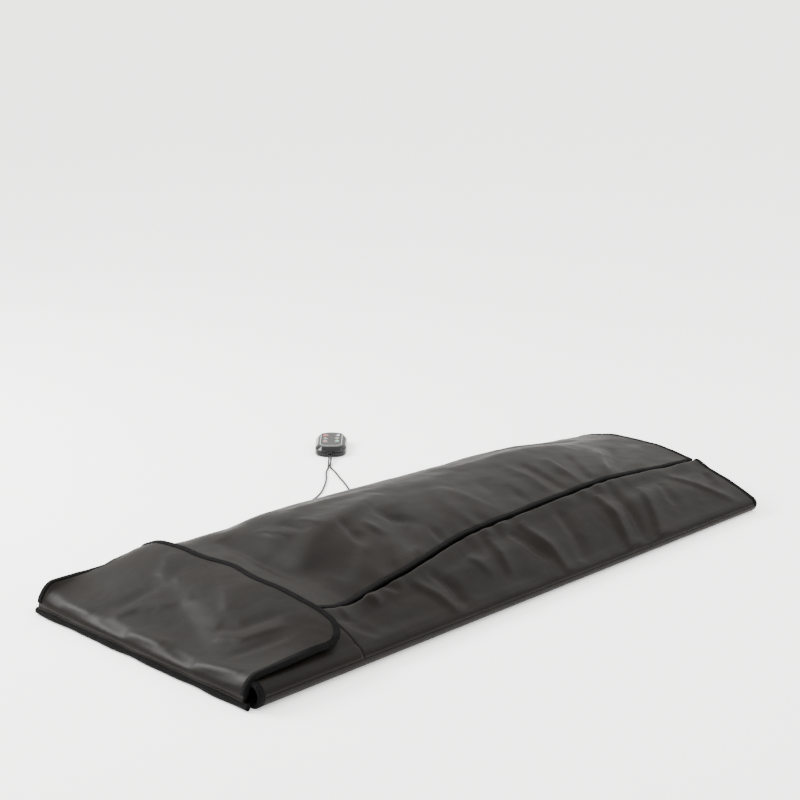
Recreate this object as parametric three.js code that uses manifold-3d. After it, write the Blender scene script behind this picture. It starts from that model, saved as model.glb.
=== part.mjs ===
// Infrared sauna blanket with its hand controller, in millimetres, +Z up.
// The blanket lies on the floor with its foot end at -X and its head opening at +X.
// The origin is on the underside, in the middle of the blanket.
// A padded base carries two top panels that swing open at the long sides, a foot
// pocket, and a flap that folds over the pocket. Every padded panel is a stack of
// cover, insulation, heating mat and lining, and its open edges carry a binding.
// The controller lies beside the blanket on its own two leads.
import * as THREE from 'three';
import { mergeVertices } from 'three/addons/utils/BufferGeometryUtils.js';
import Module from 'manifold-3d';

const wasm = await Module();
wasm.setup();

// ---- driving dimensions: blanket ----
const blanketLength = 1800;
const footHalfWidth = 400;
const headHalfWidth = 340;
const footRoll = 30;              // radius of the fold along each long side, at the foot
const headRoll = 20;              // and at the head
const seamGap = 0.3;              // half of the gap where a panel meets the base
const layGap = 0.3;               // between layers that touch
const footHeight = 50;            // height of the ridge at the foot end
const ankleHeight = 120;          // where the foot flap ends
const feetHeight = 176;           // over the feet and the legs
const chestHeight = 165;          // over the chest
const neckHeight = 106;           // at the head opening
const crestOffset = 60;           // the ridge lies this far to the far side
const flapLength = 308;           // foot flap, foot end to free edge
const flapNearInset = 36;         // the flap's near edge lies this far inside the blanket's side
const flapFarInset = 22;          // and its far edge
const flapNearWidth = footHalfWidth - flapNearInset;
const flapFarWidth = footHalfWidth - flapFarInset;
const flapCorner = 62;            // corner radius of the flap
const flapLift = 6;               // space between the pocket and the flap above it
const footFoldDepth = 20;         // how far the foot fold curves in
const footSeamHeight = 40;
const gussetThickness = 7.6;
const footCordRadius = 4.5;       // round binding along the foot end
const footCordFit = 0.5;
const footFit = 0.6;               // between the gusset and the base
const pocketOverhang = 9;         // the pocket shows this far past the flap binding
const closureFoot = -205;         // where the far panel's edge lies, at the pocket
const closureHead = -118;         // and at the head opening
const lapWidth = 60;              // how far the near panel reaches under the far one
const dipRun = 30;                // the near panel sinks under the far one over this run
const dipReach = 4;               // and is down this far before the far panel's binding
const bindingWidth = 7;
const bindingRound = 2.4;
const floorLift = 0.5;             // the base's head binding lies this far clear of the floor
const tapeWidth = 40;
const tapeThickness = 1.2;
const patchLength = 60;
const patchWidth = 30;
const patchInset = 30;            // the patches lie this far in from the flap's round corners
const patchLift = 0.6;            // the loop patch lies this far above the pocket
const sensorSize = [26, 8, 3];
const cutoutSize = [22, 10, 3.4];

// Layer thicknesses, from the outer cover to the inner lining.
const coverThickness = 1.6;
const insulationThickness = 6;
const heaterThickness = 1.2;
const liningThickness = 1.2;

// ---- driving dimensions: controller ----
const caseHalfWidth = 45;
const caseTop = 76.5;
const caseBottom = -76.5;
const caseCorner = 33;
const rearDepth = 14;
const caseDepth = 29;
const bevelStart = 19;
const bevelSide = 9.5;
const bevelTop = 2;
const bevelBottom = 9;
const caseWall = 2.2;
const footChamfer = 3;             // round the edge of the rear case
const innerChamfer = 2;
const overlayHalfWidth = 32;
const overlayTop = 70.5;
const overlayShoulder = 63;
const overlayBottom = -55;
const overlayCorner = 20;
const overlayThickness = 1;
const keyColumn = 17;
const keyRows = [16.4, -10.8];
const keyRadius = 6;
const keyTravel = 0.4;
const keyStemRadius = 2;
const displayRow = 43.5;
const displaySize = [16.8, 13.4];
const lampRow = 0;
const lampRadius = 1;
const fitGap = 0.3;
const boardLevel = 18;
const boardThickness = 1.6;
const boardHalf = [35, 50];
const bossColumn = 31;
const bossRows = [-40, 46];
const bossRadius = 4;
const screwRadius = 1.4;
const screwHeadRadius = 2.8;
const screwHeadDepth = 2;
const switchSize = [6, 6, 3.5];
const relaySize = [15, 19, 13.6];
const transformerSize = [26, 24, 13];
const controllerPlace = [455, 850];
const controllerTurn = -44;       // degrees: its leads point back to the blanket

// ---- driving dimensions: leads ----
const leadDiameter = 5;
const leadGap = 1;
const bootCollar = [24.5, 7, 12];
const bootRoot = [19, 10.5];
const bootTip = [14.6, 8.4];
const bootLength = 18;
const neckSize = [15, 8];
const neckInside = 6;
const leadLevel = 14;             // height of the leads where they leave the boot
const entryPlace = -680;          // where the blanket lead enters the far side, below the flap
const entrySize = [26, 16, 12];
const coilMeanRadius = 28;
const coilBundle = 15;
const coilCut = 2.5;
const plugSize = [36, 26, 15];
const pinRadius = 2;
const pinLength = 19;
const pinSpacing = 19;
const pinRoot = 1;

// ---- values worked out from them ----
const footX = -blanketLength / 2;
const headX = blanketLength / 2;
const baseFootX = footX + footFoldDepth + footFit;
const coverIn = 0;
const coverOut = coverIn + coverThickness;
const insulationIn = coverOut + layGap;
const insulationOut = insulationIn + insulationThickness;
const heaterIn = insulationOut + layGap;
const heaterOut = heaterIn + heaterThickness;
const liningIn = heaterOut + layGap;
const stack = liningIn + liningThickness;
const hookIn = stack + layGap;
const loopIn = hookIn + tapeThickness + layGap;
const lapDip = loopIn + tapeThickness + layGap;
const flapFreeX = footX + flapLength;
const pocketEndX = flapFreeX + layGap + bindingWidth + pocketOverhang;
const panelFootX = pocketEndX + 2 * layGap;
const exitGap = layGap;

const group = new THREE.Group();
const { lerp, mapLinear, smoothstep: step } = THREE.MathUtils;
const spread = (from, to, count) => (
  Array.from({ length: count }, (_, i) => from + (to - from) * i / (count - 1))
);

const finish = {
  cover: new THREE.MeshStandardMaterial({ color: 0x3c3a37, roughness: 0.55, metalness: 0 }),
  lining: new THREE.MeshStandardMaterial({ color: 0x1d1e20, roughness: 0.5, metalness: 0 }),
  insulation: new THREE.MeshStandardMaterial({ color: 0xd9d6cf, roughness: 0.95, metalness: 0 }),
  heater: new THREE.MeshStandardMaterial({ color: 0x6b5a3a, roughness: 0.8, metalness: 0 }),
  binding: new THREE.MeshStandardMaterial({ color: 0x17181a, roughness: 0.7, metalness: 0 }),
  tape: new THREE.MeshStandardMaterial({ color: 0x101112, roughness: 0.95, metalness: 0 }),
  shell: new THREE.MeshStandardMaterial({ color: 0x0c0d10, roughness: 0.12, metalness: 0 }),
  overlay: new THREE.MeshStandardMaterial({ color: 0x0a0e0e, roughness: 0.08, metalness: 0 }),
  display: new THREE.MeshStandardMaterial({ color: 0x3a3434, roughness: 0.2, metalness: 0 }),
  lamp: new THREE.MeshStandardMaterial({ color: 0xc8f04a, roughness: 0.2, metalness: 0 }),
  board: new THREE.MeshStandardMaterial({ color: 0x1f5a34, roughness: 0.6, metalness: 0 }),
  device: new THREE.MeshStandardMaterial({ color: 0x22252a, roughness: 0.5, metalness: 0 }),
  steel: new THREE.MeshStandardMaterial({ color: 0xb9bcc0, roughness: 0.3, metalness: 1 }),
  cable: new THREE.MeshStandardMaterial({ color: 0x0b0b0c, roughness: 0.35, metalness: 0 }),
};

// ---- building closed meshes ----

// Triangles that cap a ring, wound as the ring is: a fan, or a strip between a slab's two skins.
function capTriangles(count, slab) {
  const triangles = [];
  if (slab) {
    for (let j = 0; j < count / 2 - 1; j++) {
      const across = count - 1 - j;
      triangles.push([j, j + 1, across - 1], [j, across - 1, across]);
    }
  } else {
    for (let j = 1; j < count - 1; j++) triangles.push([0, j, j + 1]);
  }
  return triangles;
}

function signedVolume(points, faces) {
  return faces.reduce(
    (sum, [a, b, c]) => sum + points[a].dot(new THREE.Vector3().crossVectors(points[b], points[c])) / 6,
    0,
  );
}

// A closed body through a row of rings that all have the same number of points.
// The halves of a slab's ring are its two skins, which are split along the same diagonals,
// so that slabs laid on each other stay clear.
function loft(rings, { slab = false, mirror = false } = {}) {
  const count = rings[0].length;
  const points = rings.flat();
  const faces = [];
  for (let i = 0; i < rings.length - 1; i++) {
    for (let j = 0; j < count; j++) {
      const a = i * count + j;
      const b = i * count + ((j + 1) % count);
      const back = slab && j >= count / 2 ? !mirror : mirror;
      if (back) faces.push([a, b, a + count], [b, b + count, a + count]);
      else faces.push([a, b, b + count], [a, b + count, a + count]);
    }
  }
  const last = (rings.length - 1) * count;
  for (const [a, b, c] of capTriangles(count, slab)) {
    faces.push([a, c, b]);
    faces.push([last + a, last + b, last + c]);
  }
  if (signedVolume(points, faces) < 0) faces.forEach((f) => f.reverse());
  const geometry = new THREE.BufferGeometry().setFromPoints(points);
  geometry.setIndex(faces.flat());
  return geometry;
}

function solidOf(geometry, place = new THREE.Matrix4()) {
  const bare = new THREE.BufferGeometry();
  bare.setAttribute('position', geometry.getAttribute('position').clone());
  if (geometry.index) bare.setIndex(geometry.index.clone());
  const merged = mergeVertices(bare.applyMatrix4(place), 1e-3);
  return new wasm.Manifold(new wasm.Mesh({
    numProp: 3,
    vertProperties: merged.attributes.position.array,
    triVerts: new Uint32Array(merged.index.array),
  }));
}

function geometryOf(solid) {
  const mesh = solid.getMesh();
  const geometry = new THREE.BufferGeometry();
  geometry.setAttribute('position', new THREE.BufferAttribute(new Float32Array(mesh.vertProperties), 3));
  geometry.setIndex(new THREE.BufferAttribute(new Uint32Array(mesh.triVerts), 1));
  return geometry;
}

const shift = (x, y, z) => new THREE.Matrix4().makeTranslation(x, y, z);
const boxSolid = ([sx, sy, sz], [x, y, z]) => solidOf(new THREE.BoxGeometry(sx, sy, sz), shift(x, y, z));

// An upright cylinder that stands on the level given.
function postSolid(radius, height, [x, y, z], sides = 20) {
  const upright = new THREE.Matrix4().makeRotationX(Math.PI / 2);
  const place = shift(x, y, z + height / 2).multiply(upright);
  return solidOf(new THREE.CylinderGeometry(radius, radius, height, sides), place);
}

function addMesh(name, geometry, material, parent = group) {
  const mesh = new THREE.Mesh(geometry, material);
  mesh.name = name;
  parent.add(mesh);
  return mesh;
}

// ---- the blanket's shape ----

const halfWidth = (x) => mapLinear(x, footX, headX, footHalfWidth, headHalfWidth);
const rollAt = (x) => mapLinear(x, footX, headX, footRoll, headRoll);
const closureAt = (x) => mapLinear(x, panelFootX, headX, closureFoot, closureHead);

// Height of the ridge along the blanket: the foot end, the ankles, the legs, the chest and the neck.
function ridgeHeight(x) {
  return footHeight
    + (ankleHeight - footHeight) * step(x, footX, 0.62 * footX)
    + (feetHeight - ankleHeight) * step(x, 0.6 * footX, 0.33 * footX)
    - (feetHeight - chestHeight) * step(x, 0.3 * footX, 0.44 * headX)
    - (chestHeight - neckHeight) * step(x, 0.45 * headX, 1.08 * headX);
}

// Height of the top surface. It is full and flat over the foot end, and rounder over the body,
// where the far side is fuller than the near side.
function topHeight(x, y) {
  const reach = halfWidth(x) - rollAt(x);
  const far = y > crestOffset;
  const across = Math.min(1, Math.abs(y - crestOffset) / (far ? reach - crestOffset : reach + crestOffset));
  const foot = 1 - step(x, 0.66 * footX, (far ? 0.42 : 0.52) * footX);
  const power = far ? lerp(2, 6, foot) : lerp(1.8 + 0.4 * step(x, -0.2 * headX, 0.25 * headX), 3, foot);
  const fullness = far ? lerp(0.6, 0.5, foot) : lerp(1, 0.7, foot);
  const side = 2 * rollAt(x);
  return side + (ridgeHeight(x) - side) * (1 - across ** power) ** fullness;
}

// A place on a skin: its point and its outward normal, both as (y, z).
const skinPlace = (y, z, normalY, normalZ) => ({
  point: new THREE.Vector2(y, z),
  normal: new THREE.Vector2(normalY, normalZ).normalize(),
});

// A place on the top surface, sunk along its normal.
function topPlace(x, y, depth = 0) {
  const d = 4;
  const slope = (topHeight(x, y + d) - topHeight(x, y - d)) / (2 * d);
  const place = skinPlace(y, topHeight(x, y), -slope, 1);
  place.point.addScaledVector(place.normal, -depth);
  return place;
}

// Places across the top between two sides, closer together near each end.
const eased = (from, to, count) => (
  spread(0, Math.PI, count).map((a) => lerp(from, to, (1 - Math.cos(a)) / 2))
);

// The arc of a side fold: side is -1 near and +1 far; from and to are heights in radii, -1 to 1.
function foldArc(x, side, from, to, count = 5) {
  const roll = rollAt(x);
  const centre = side * (halfWidth(x) - roll);
  const arc = spread(Math.asin(from), Math.asin(to), count).map((a) => {
    const [across, up] = [side * Math.cos(a), Math.sin(a)];
    return skinPlace(centre + roll * across, roll + roll * up, across, up);
  });
  const seam = arc[Math.abs(from) < 1 ? 0 : count - 1];
  seam.normal.set(side, 0);
  return arc;
}

const seamStart = (x) => seamGap / rollAt(x);

// Places across the lap, from the far panel's edge to the near panel's edge.
const lapTapeIn = 10;
const lapRow = (x) => [0, lapTapeIn, lapTapeIn + tapeWidth, lapWidth].map((d) => closureAt(x) + d);

// The outer skin of each panel across the blanket.
function nearPanelCurve(x) {
  const from = -halfWidth(x) + rollAt(x);
  const dipEnd = closureAt(x) - bindingWidth - dipReach;
  const top = spread(from, dipEnd - dipRun, 5).slice(1).map((y) => topPlace(x, y));
  const lap = [dipEnd, ...lapRow(x)].map((y) => topPlace(x, y, lapDip));
  return [...foldArc(x, -1, seamStart(x), 1), ...top, ...lap];
}

function farPanelCurve(x) {
  const from = halfWidth(x) - rollAt(x);
  const to = closureAt(x) + lapWidth;
  const top = spread(0, Math.PI / 2, 8).slice(1, -1).map((a) => topPlace(x, lerp(to, from, Math.cos(a))));
  const lap = lapRow(x).reverse().map((y) => topPlace(x, y));
  return [...foldArc(x, 1, seamStart(x), 1), ...top, ...lap];
}

function baseCurve(x) {
  return [...foldArc(x, 1, -seamStart(x), -1), ...foldArc(x, -1, -1, -seamStart(x))];
}

function pocketCurve(x) {
  const reach = halfWidth(x) - rollAt(x);
  const top = eased(-reach, reach, 13).slice(1, -1).map((y) => topPlace(x, y));
  return [...foldArc(x, -1, seamStart(x), 1), ...top, ...foldArc(x, 1, 1, seamStart(x))];
}

// One layer of a panel, from depth a to depth b below the outer skin.
// pick takes a stretch of the places across it.
function layer(curve, stations, a, b, pick = [0]) {
  const rings = stations.map((x) => {
    const skin = curve(x).slice(...pick);
    const at = (depth) => skin.map(({ point, normal }) => {
      const q = point.clone().addScaledVector(normal, -depth);
      return new THREE.Vector3(x, q.x, q.y);
    });
    return [...at(a), ...at(b).reverse()];
  });
  return loft(rings, { slab: true, mirror: curve === farPanelCurve });
}

// The rounded section of a binding: outward from the cloth's edge, and along its normal.
// It can lie a little short of the cloth's outer skin.
function bindingSection(short) {
  const [inner, outer] = [layGap, layGap + bindingWidth];
  return [
    [inner, -stack], [outer - bindingRound, -stack], [outer, bindingRound - stack],
    [outer, -bindingRound - short], [outer - bindingRound, -short], [inner, -short],
  ];
}

// A binding along a row of places, each with its point, outward direction and normal.
function binding(places, options, short = 0) {
  const rings = places.map(({ point, out, normal }) => bindingSection(short).map(
    ([u, v]) => point.clone().addScaledVector(out, u).addScaledVector(normal, v),
  ));
  return loft(rings, options);
}

// Places along the cut edge of a panel at its head end.
function headPlaces(curve) {
  return curve(headX).map(({ point, normal }) => ({
    point: new THREE.Vector3(headX, point.x, point.y),
    out: new THREE.Vector3(1, 0, 0),
    normal: new THREE.Vector3(0, normal.x, normal.y),
  }));
}

// Places along the far panel's long free edge.
function lapEdgePlaces() {
  return panelStations.map((x) => {
    const { point, normal } = farPanelCurve(x).at(-1);
    return {
      point: new THREE.Vector3(x, point.x, point.y),
      out: new THREE.Vector3(0, -normal.y, normal.x),
      normal: new THREE.Vector3(0, normal.x, normal.y),
    };
  });
}

// ---- panels ----

const layerDepths = {
  outer_cover: [coverIn, coverOut, finish.cover],
  insulation: [insulationIn, insulationOut, finish.insulation],
  heating_mat: [heaterIn, heaterOut, finish.heater],
  inner_lining: [liningIn, stack, finish.lining],
};

const baseStations = [baseFootX, headX];
const pocketStations = spread(baseFootX, pocketEndX, 5);
const panelStations = spread(panelFootX, headX, 10);

function addPanel(name, curve, stations, kinds) {
  for (const kind of kinds) {
    const [a, b, material] = layerDepths[kind];
    addMesh(`${name}_${kind}`, layer(curve, stations, a, b), material);
  }
}

const allKinds = Object.keys(layerDepths);
const unheatedKinds = allKinds.filter((kind) => kind !== 'heating_mat');
addPanel('base', baseCurve, baseStations, allKinds.filter((kind) => kind !== 'insulation'));
addPanel('foot_pocket', pocketCurve, pocketStations, unheatedKinds);
addPanel('far_panel', farPanelCurve, panelStations, allKinds);
addPanel('near_panel', nearPanelCurve, panelStations, allKinds);

// The base insulation has two pockets in its upper face for the sensor and the cut-out.
const sensorPlace = [120, 40];
const cutoutPlace = [260, -60];
const pocketTop = insulationOut;

function recess(size, [x, y]) {
  const depth = size[2] + 2 * layGap;
  const open = 1;      // the cut reaches this far above the insulation
  const cut = [size[0] + 2 * layGap, size[1] + 2 * layGap, depth + open];
  return boxSolid(cut, [x, y, pocketTop + (open - depth) / 2]);
}

const insulationSolid = solidOf(layer(baseCurve, baseStations, insulationIn, insulationOut))
  .subtract(recess(sensorSize, sensorPlace))
  .subtract(recess(cutoutSize, cutoutPlace));
addMesh('base_insulation', geometryOf(insulationSolid), finish.insulation);

function addBuried(name, size, [x, y], material) {
  const mesh = addMesh(name, new THREE.BoxGeometry(...size), material);
  mesh.position.set(x, y, pocketTop - layGap - size[2] / 2);
}

addBuried('temperature_sensor', sensorSize, sensorPlace, finish.steel);
addBuried('thermal_cutout', cutoutSize, cutoutPlace, finish.device);

// ---- closure and edge bindings ----

// The two tapes lie on each other between the panels, at the two middle places of the lap.
const lapMiddle = [-3, -1];
const hookTape = layer(farPanelCurve, panelStations, hookIn, hookIn + tapeThickness, lapMiddle);
const loopTape = layer(farPanelCurve, panelStations, loopIn, loopIn + tapeThickness, lapMiddle);
addMesh('closure_hook_tape', hookTape, finish.tape);
addMesh('closure_loop_tape', loopTape, finish.tape);
addMesh('far_panel_edge_binding', binding(lapEdgePlaces(), { mirror: true }), finish.binding);
addMesh('far_panel_head_binding', binding(headPlaces(farPanelCurve)), finish.binding);
addMesh('near_panel_head_binding', binding(headPlaces(nearPanelCurve)), finish.binding);
addMesh('base_head_binding', binding(headPlaces(baseCurve), {}, floorLift), finish.binding);

// ---- foot end ----

// Height of the flap's outer skin: the pocket below it, the space and the flap's own thickness.
function flapHeight(x, y) {
  const d = 8;
  const across = (topHeight(x, y + d) - topHeight(x, y - d)) / (2 * d);
  const along = (topHeight(x + d, y) - topHeight(x - d, y)) / (2 * d);
  const steep = Math.min(1, across ** 2 + along ** 2);
  return topHeight(x, y) + (stack + flapLift) * Math.sqrt(1 + steep);
}

// Places across the flap's free edge: the outward heading, how far across and how far short of
// the edge each lies. Its corners are round.
const flapEdge = (() => {
  const corner = (side, width) => spread(0, Math.PI / 2, 4).map((a) => ({
    heading: side * a,
    y: side * (width - flapCorner + flapCorner * Math.sin(a)),
    short: flapCorner * (1 - Math.cos(a)),
  }));
  const middle = spread(flapCorner - flapNearWidth, flapFarWidth - flapCorner, 12).slice(1, -1);
  return [
    ...corner(-1, flapNearWidth).reverse(),
    ...middle.map((y) => ({ heading: 0, y, short: 0 })),
    ...corner(1, flapFarWidth),
  ];
})();

// The flap's outer skin at one of those places, from the foot seam to its free edge.
function flapSkin({ y, short }) {
  const foldEnd = footX + footFoldDepth;
  const rise = flapHeight(foldEnd, y) - footSeamHeight;
  const fold = spread(seamGap / footSeamHeight, Math.PI / 2, 5).map((a) => ({
    point: new THREE.Vector3(
      footX + footFoldDepth * (1 - Math.cos(a)),
      y,
      footSeamHeight + rise * Math.sin(a),
    ),
    normal: new THREE.Vector3(-rise * Math.cos(a), 0, footFoldDepth * Math.sin(a)).normalize(),
  }));
  fold[0].normal.set(-1, 0, 0);
  const d = 4;
  const top = spread(foldEnd, flapFreeX - short, 7).slice(1).map((x) => ({
    point: new THREE.Vector3(x, y, flapHeight(x, y)),
    normal: new THREE.Vector3(-(flapHeight(x, y) - flapHeight(x - d, y)) / d, 0, 1).normalize(),
  }));
  return [...fold, ...top];
}

function flapLayer(a, b) {
  const rings = flapEdge.map((place) => {
    const skin = flapSkin(place);
    const at = (depth) => skin.map(({ point, normal }) => point.clone().addScaledVector(normal, -depth));
    return [...at(a), ...at(b).reverse()];
  });
  return loft(rings, { slab: true });
}

for (const kind of unheatedKinds) {
  const [a, b, material] = layerDepths[kind];
  addMesh(`foot_flap_${kind}`, flapLayer(a, b), material);
}

// The binding runs up one side of the flap, round its free edge and down the other side.
function flapBindingPlaces() {
  const side = (place) => flapSkin(place).slice(0, -1).map((q) => ({
    ...q,
    out: new THREE.Vector3(0, Math.sign(place.y), 0),
  }));
  const edge = flapEdge.map((place) => ({
    ...flapSkin(place).at(-1),
    out: new THREE.Vector3(Math.cos(place.heading), Math.sin(place.heading), 0),
  }));
  return [...side(flapEdge[0]), ...edge, ...side(flapEdge.at(-1)).reverse()];
}

addMesh('foot_flap_binding', binding(flapBindingPlaces()), finish.binding);

// The gusset closes the foot end below the flap's seam, between the side folds.
// One place down its outer skin, which is a quarter of an ellipse: a runs from the seam to the floor.
function gussetPlace(a, y) {
  const along = new THREE.Vector3(-footSeamHeight * Math.cos(a), 0, -footFoldDepth * Math.sin(a));
  return {
    point: new THREE.Vector3(
      footX + footFoldDepth * (1 - Math.cos(a)),
      y,
      footSeamHeight * (1 - Math.sin(a)),
    ),
    normal: along.normalize(),
  };
}

function gussetRing(y) {
  const skin = spread(seamGap / footSeamHeight, Math.PI / 2, 7).map((a) => gussetPlace(a, y));
  const inner = skin.map(({ point, normal }) => point.clone().addScaledVector(normal, -gussetThickness));
  inner[0].z = skin[0].point.z;
  return [...skin.map(({ point }) => point), ...inner.reverse()];
}

addMesh('foot_gusset', loft([-flapNearWidth, flapFarWidth].map(gussetRing), { slab: true }), finish.cover);

// A round binding lies along the gusset where it first comes down to the floor.
const footCordPlace = spread(0, Math.PI / 2, 300)
  .map((a) => gussetPlace(a, 0))
  .map(({ point, normal }) => point.addScaledVector(normal, footCordRadius + footCordFit))
  .find(({ z }) => z <= footCordRadius);
const footCordLength = flapNearWidth + flapFarWidth;
const footCordShape = new THREE.CylinderGeometry(footCordRadius, footCordRadius, footCordLength, 12);
const footBinding = addMesh('base_foot_binding', footCordShape, finish.binding);
footBinding.position.set(footCordPlace.x, (flapFarWidth - flapNearWidth) / 2, footCordRadius);

// Hook patches under the flap's corners, and loop patches on the pocket below them.
function patch(name, y, lift) {
  const x = flapFreeX - flapCorner;
  const row = spread(y - patchLength / 2, y + patchLength / 2, 5);
  const ringAt = (along) => {
    const at = (up) => row.map((across) => new THREE.Vector3(along, across, topHeight(along, across) + up));
    return [...at(lift), ...at(lift + tapeThickness).reverse()];
  };
  const rings = spread(x - patchWidth / 2, x + patchWidth / 2, 4).map(ringAt);
  addMesh(name, loft(rings, { slab: true }), finish.tape);
}

for (const [word, side, width] of [['near', -1, flapNearWidth], ['far', 1, flapFarWidth]]) {
  const y = side * (width - flapCorner - patchInset - patchLength / 2);
  patch(`flap_loop_patch_${word}`, y, patchLift);
  patch(`flap_hook_patch_${word}`, y, patchLift + tapeThickness + layGap);
}

// ---- controller, drawn upright on its back and then turned into place ----

const controller = new THREE.Group();
controller.position.set(controllerPlace[0], controllerPlace[1], 0);
controller.rotation.z = THREE.MathUtils.degToRad(controllerTurn);
group.add(controller);

// The outline of the case: an arched top, straight sides and round lower corners.
function caseOutline(half, top, bottom, corner) {
  const shape = new THREE.Shape();
  shape.moveTo(0, top);
  shape.bezierCurveTo(-half * 0.36, top, -half * 0.56, top - 5, -half * 0.7, top - 9);
  shape.bezierCurveTo(-half * 0.88, top - 14, -half, top - 22, -half, top - 33);
  shape.lineTo(-half, bottom + corner);
  shape.absarc(-half + corner, bottom + corner, corner, Math.PI, 1.5 * Math.PI);
  shape.absarc(half - corner, bottom + corner, corner, 1.5 * Math.PI, 2 * Math.PI);
  shape.lineTo(half, top - 33);
  shape.bezierCurveTo(half, top - 22, half * 0.88, top - 14, half * 0.7, top - 9);
  shape.bezierCurveTo(half * 0.56, top - 5, half * 0.36, top, 0, top);
  return shape;
}

const caseRing = (inset, z) => {
  const shape = caseOutline(
    caseHalfWidth - inset.side, caseTop - inset.top, caseBottom + inset.bottom,
    Math.max(4, caseCorner - Math.max(inset.side, inset.bottom)),
  );
  return shape.getSpacedPoints(40).slice(0, -1).map((p) => new THREE.Vector3(p.x, p.y, z));
};
const even = (inset) => ({ side: inset, top: inset, bottom: inset });
const bevel = { side: bevelSide, top: bevelTop, bottom: bevelBottom };
const bevelInner = { side: bevelSide + caseWall, top: bevelTop + caseWall, bottom: bevelBottom + caseWall };

// The overlay: sharp shoulders under an arched top, and round lower corners.
function overlayShape(grow) {
  const half = overlayHalfWidth + grow;
  const bottom = overlayBottom - grow;
  const shape = new THREE.Shape();
  shape.moveTo(-half, overlayShoulder + grow);
  shape.lineTo(-half, bottom + overlayCorner);
  shape.absarc(-half + overlayCorner, bottom + overlayCorner, overlayCorner, Math.PI, 1.5 * Math.PI);
  shape.absarc(half - overlayCorner, bottom + overlayCorner, overlayCorner, 1.5 * Math.PI, 2 * Math.PI);
  shape.lineTo(half, overlayShoulder + grow);
  shape.quadraticCurveTo(0, 2 * overlayTop - overlayShoulder + grow, -half, overlayShoulder + grow);
  return shape;
}

function overlaySolid(grow, from, to) {
  const settings = { depth: to - from, bevelEnabled: false, curveSegments: 8 };
  return solidOf(new THREE.ExtrudeGeometry(overlayShape(grow), settings), shift(0, 0, from));
}

const boardTop = boardLevel + boardThickness;
const overlayBase = caseDepth - overlayThickness;
const innerRoof = overlayBase - caseWall;
const keyPlaces = {
  temp: [-keyColumn, keyRows[0]],
  time: [keyColumn, keyRows[0]],
  power: [-keyColumn, keyRows[1]],
  start: [keyColumn, keyRows[1]],
};
const displayPlaces = { temp: [-keyColumn, displayRow], time: [keyColumn, displayRow] };
const bossPlaces = bossRows.flatMap((y) => [[-bossColumn, y], [bossColumn, y]]);
const neckSlot = boxSolid(
  [neckSize[0] + 2 * fitGap, 30, neckSize[1] + 2 * fitGap],
  [0, caseBottom + 6, leadLevel],
);

// Rear case: a tub with four bosses that carry the board and take the screws.
const throughCut = 1;      // a cut starts this far outside what it goes through
const bossRoot = 1;        // a boss is sunk this far into the case's floor
const tub = loft([
  caseRing(even(footChamfer), 0), caseRing(even(0), footChamfer), caseRing(even(0), rearDepth),
]);
const tubInside = loft([
  caseRing(even(caseWall + innerChamfer), caseWall),
  caseRing(even(caseWall), caseWall + footChamfer),
  caseRing(even(caseWall), rearDepth + throughCut),
]);
let rear = solidOf(tub).subtract(solidOf(tubInside));
for (const [x, y] of bossPlaces) {
  rear = rear.add(postSolid(bossRadius, boardLevel - fitGap - bossRoot, [x, y, bossRoot]));
}
for (const [x, y] of bossPlaces) {
  const headHole = screwHeadDepth + throughCut + fitGap;
  rear = rear.subtract(postSolid(screwRadius + fitGap, boardLevel + 2, [x, y, -throughCut], 16));
  rear = rear.subtract(postSolid(screwHeadRadius + fitGap, headHole, [x, y, -throughCut], 16));
}
rear = rear.subtract(neckSlot);
addMesh('controller_rear_case', geometryOf(rear), finish.shell, controller);

// Front case: bevelled all round, with a recess for the overlay and openings behind it.
const frontBase = rearDepth + fitGap;
const frontOutside = loft([
  caseRing(even(0), frontBase), caseRing(even(0), bevelStart), caseRing(bevel, caseDepth),
]);
const frontInside = loft([
  caseRing(even(caseWall), frontBase - throughCut),
  caseRing(even(caseWall), bevelStart - throughCut),
  caseRing(bevelInner, innerRoof),
]);
let front = solidOf(frontOutside)
  .subtract(solidOf(frontInside))
  .subtract(overlaySolid(fitGap, overlayBase - fitGap, caseDepth + throughCut));
const postTop = innerRoof + 0.5;     // the posts are sunk into the roof
for (const [x, y] of bossPlaces) {
  front = front.add(postSolid(bossRadius, postTop - boardTop - fitGap, [x, y, boardTop + fitGap]));
}
for (const [x, y] of bossPlaces) {
  front = front.subtract(postSolid(screwRadius + fitGap, innerRoof - boardTop - 1, [x, y, boardTop], 16));
}
for (const [x, y] of Object.values(keyPlaces)) {
  front = front.subtract(postSolid(keyRadius + fitGap, caseDepth, [x, y, innerRoof - throughCut], 24));
}
const displayHole = [displaySize[0] + 2 * fitGap, displaySize[1] + 2 * fitGap, 12];
for (const [x, y] of Object.values(displayPlaces)) {
  front = front.subtract(boxSolid(displayHole, [x, y, caseDepth - 2]));
}
const lampHole = [keyColumn, lampRow, innerRoof - throughCut];
front = front
  .subtract(postSolid(lampRadius + 2 * fitGap, caseDepth, lampHole, 16))
  .subtract(neckSlot);
addMesh('controller_front_case', geometryOf(front), finish.shell, controller);

let overlay = overlaySolid(0, overlayBase, caseDepth);
const overlayCut = 6;                // depth of each hole's cut, well through the overlay
const cutFrom = caseDepth - overlayCut / 2;
for (const [x, y] of Object.values(keyPlaces)) {
  overlay = overlay.subtract(postSolid(keyRadius + fitGap, overlayCut, [x, y, cutFrom], 24));
}
for (const [x, y] of Object.values(displayPlaces)) {
  overlay = overlay.subtract(boxSolid([displayHole[0], displayHole[1], overlayCut], [x, y, caseDepth]));
}
overlay = overlay.subtract(postSolid(lampRadius + fitGap, overlayCut, [keyColumn, lampRow, cutFrom], 16));
addMesh('control_overlay', geometryOf(overlay), finish.overlay, controller);

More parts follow.
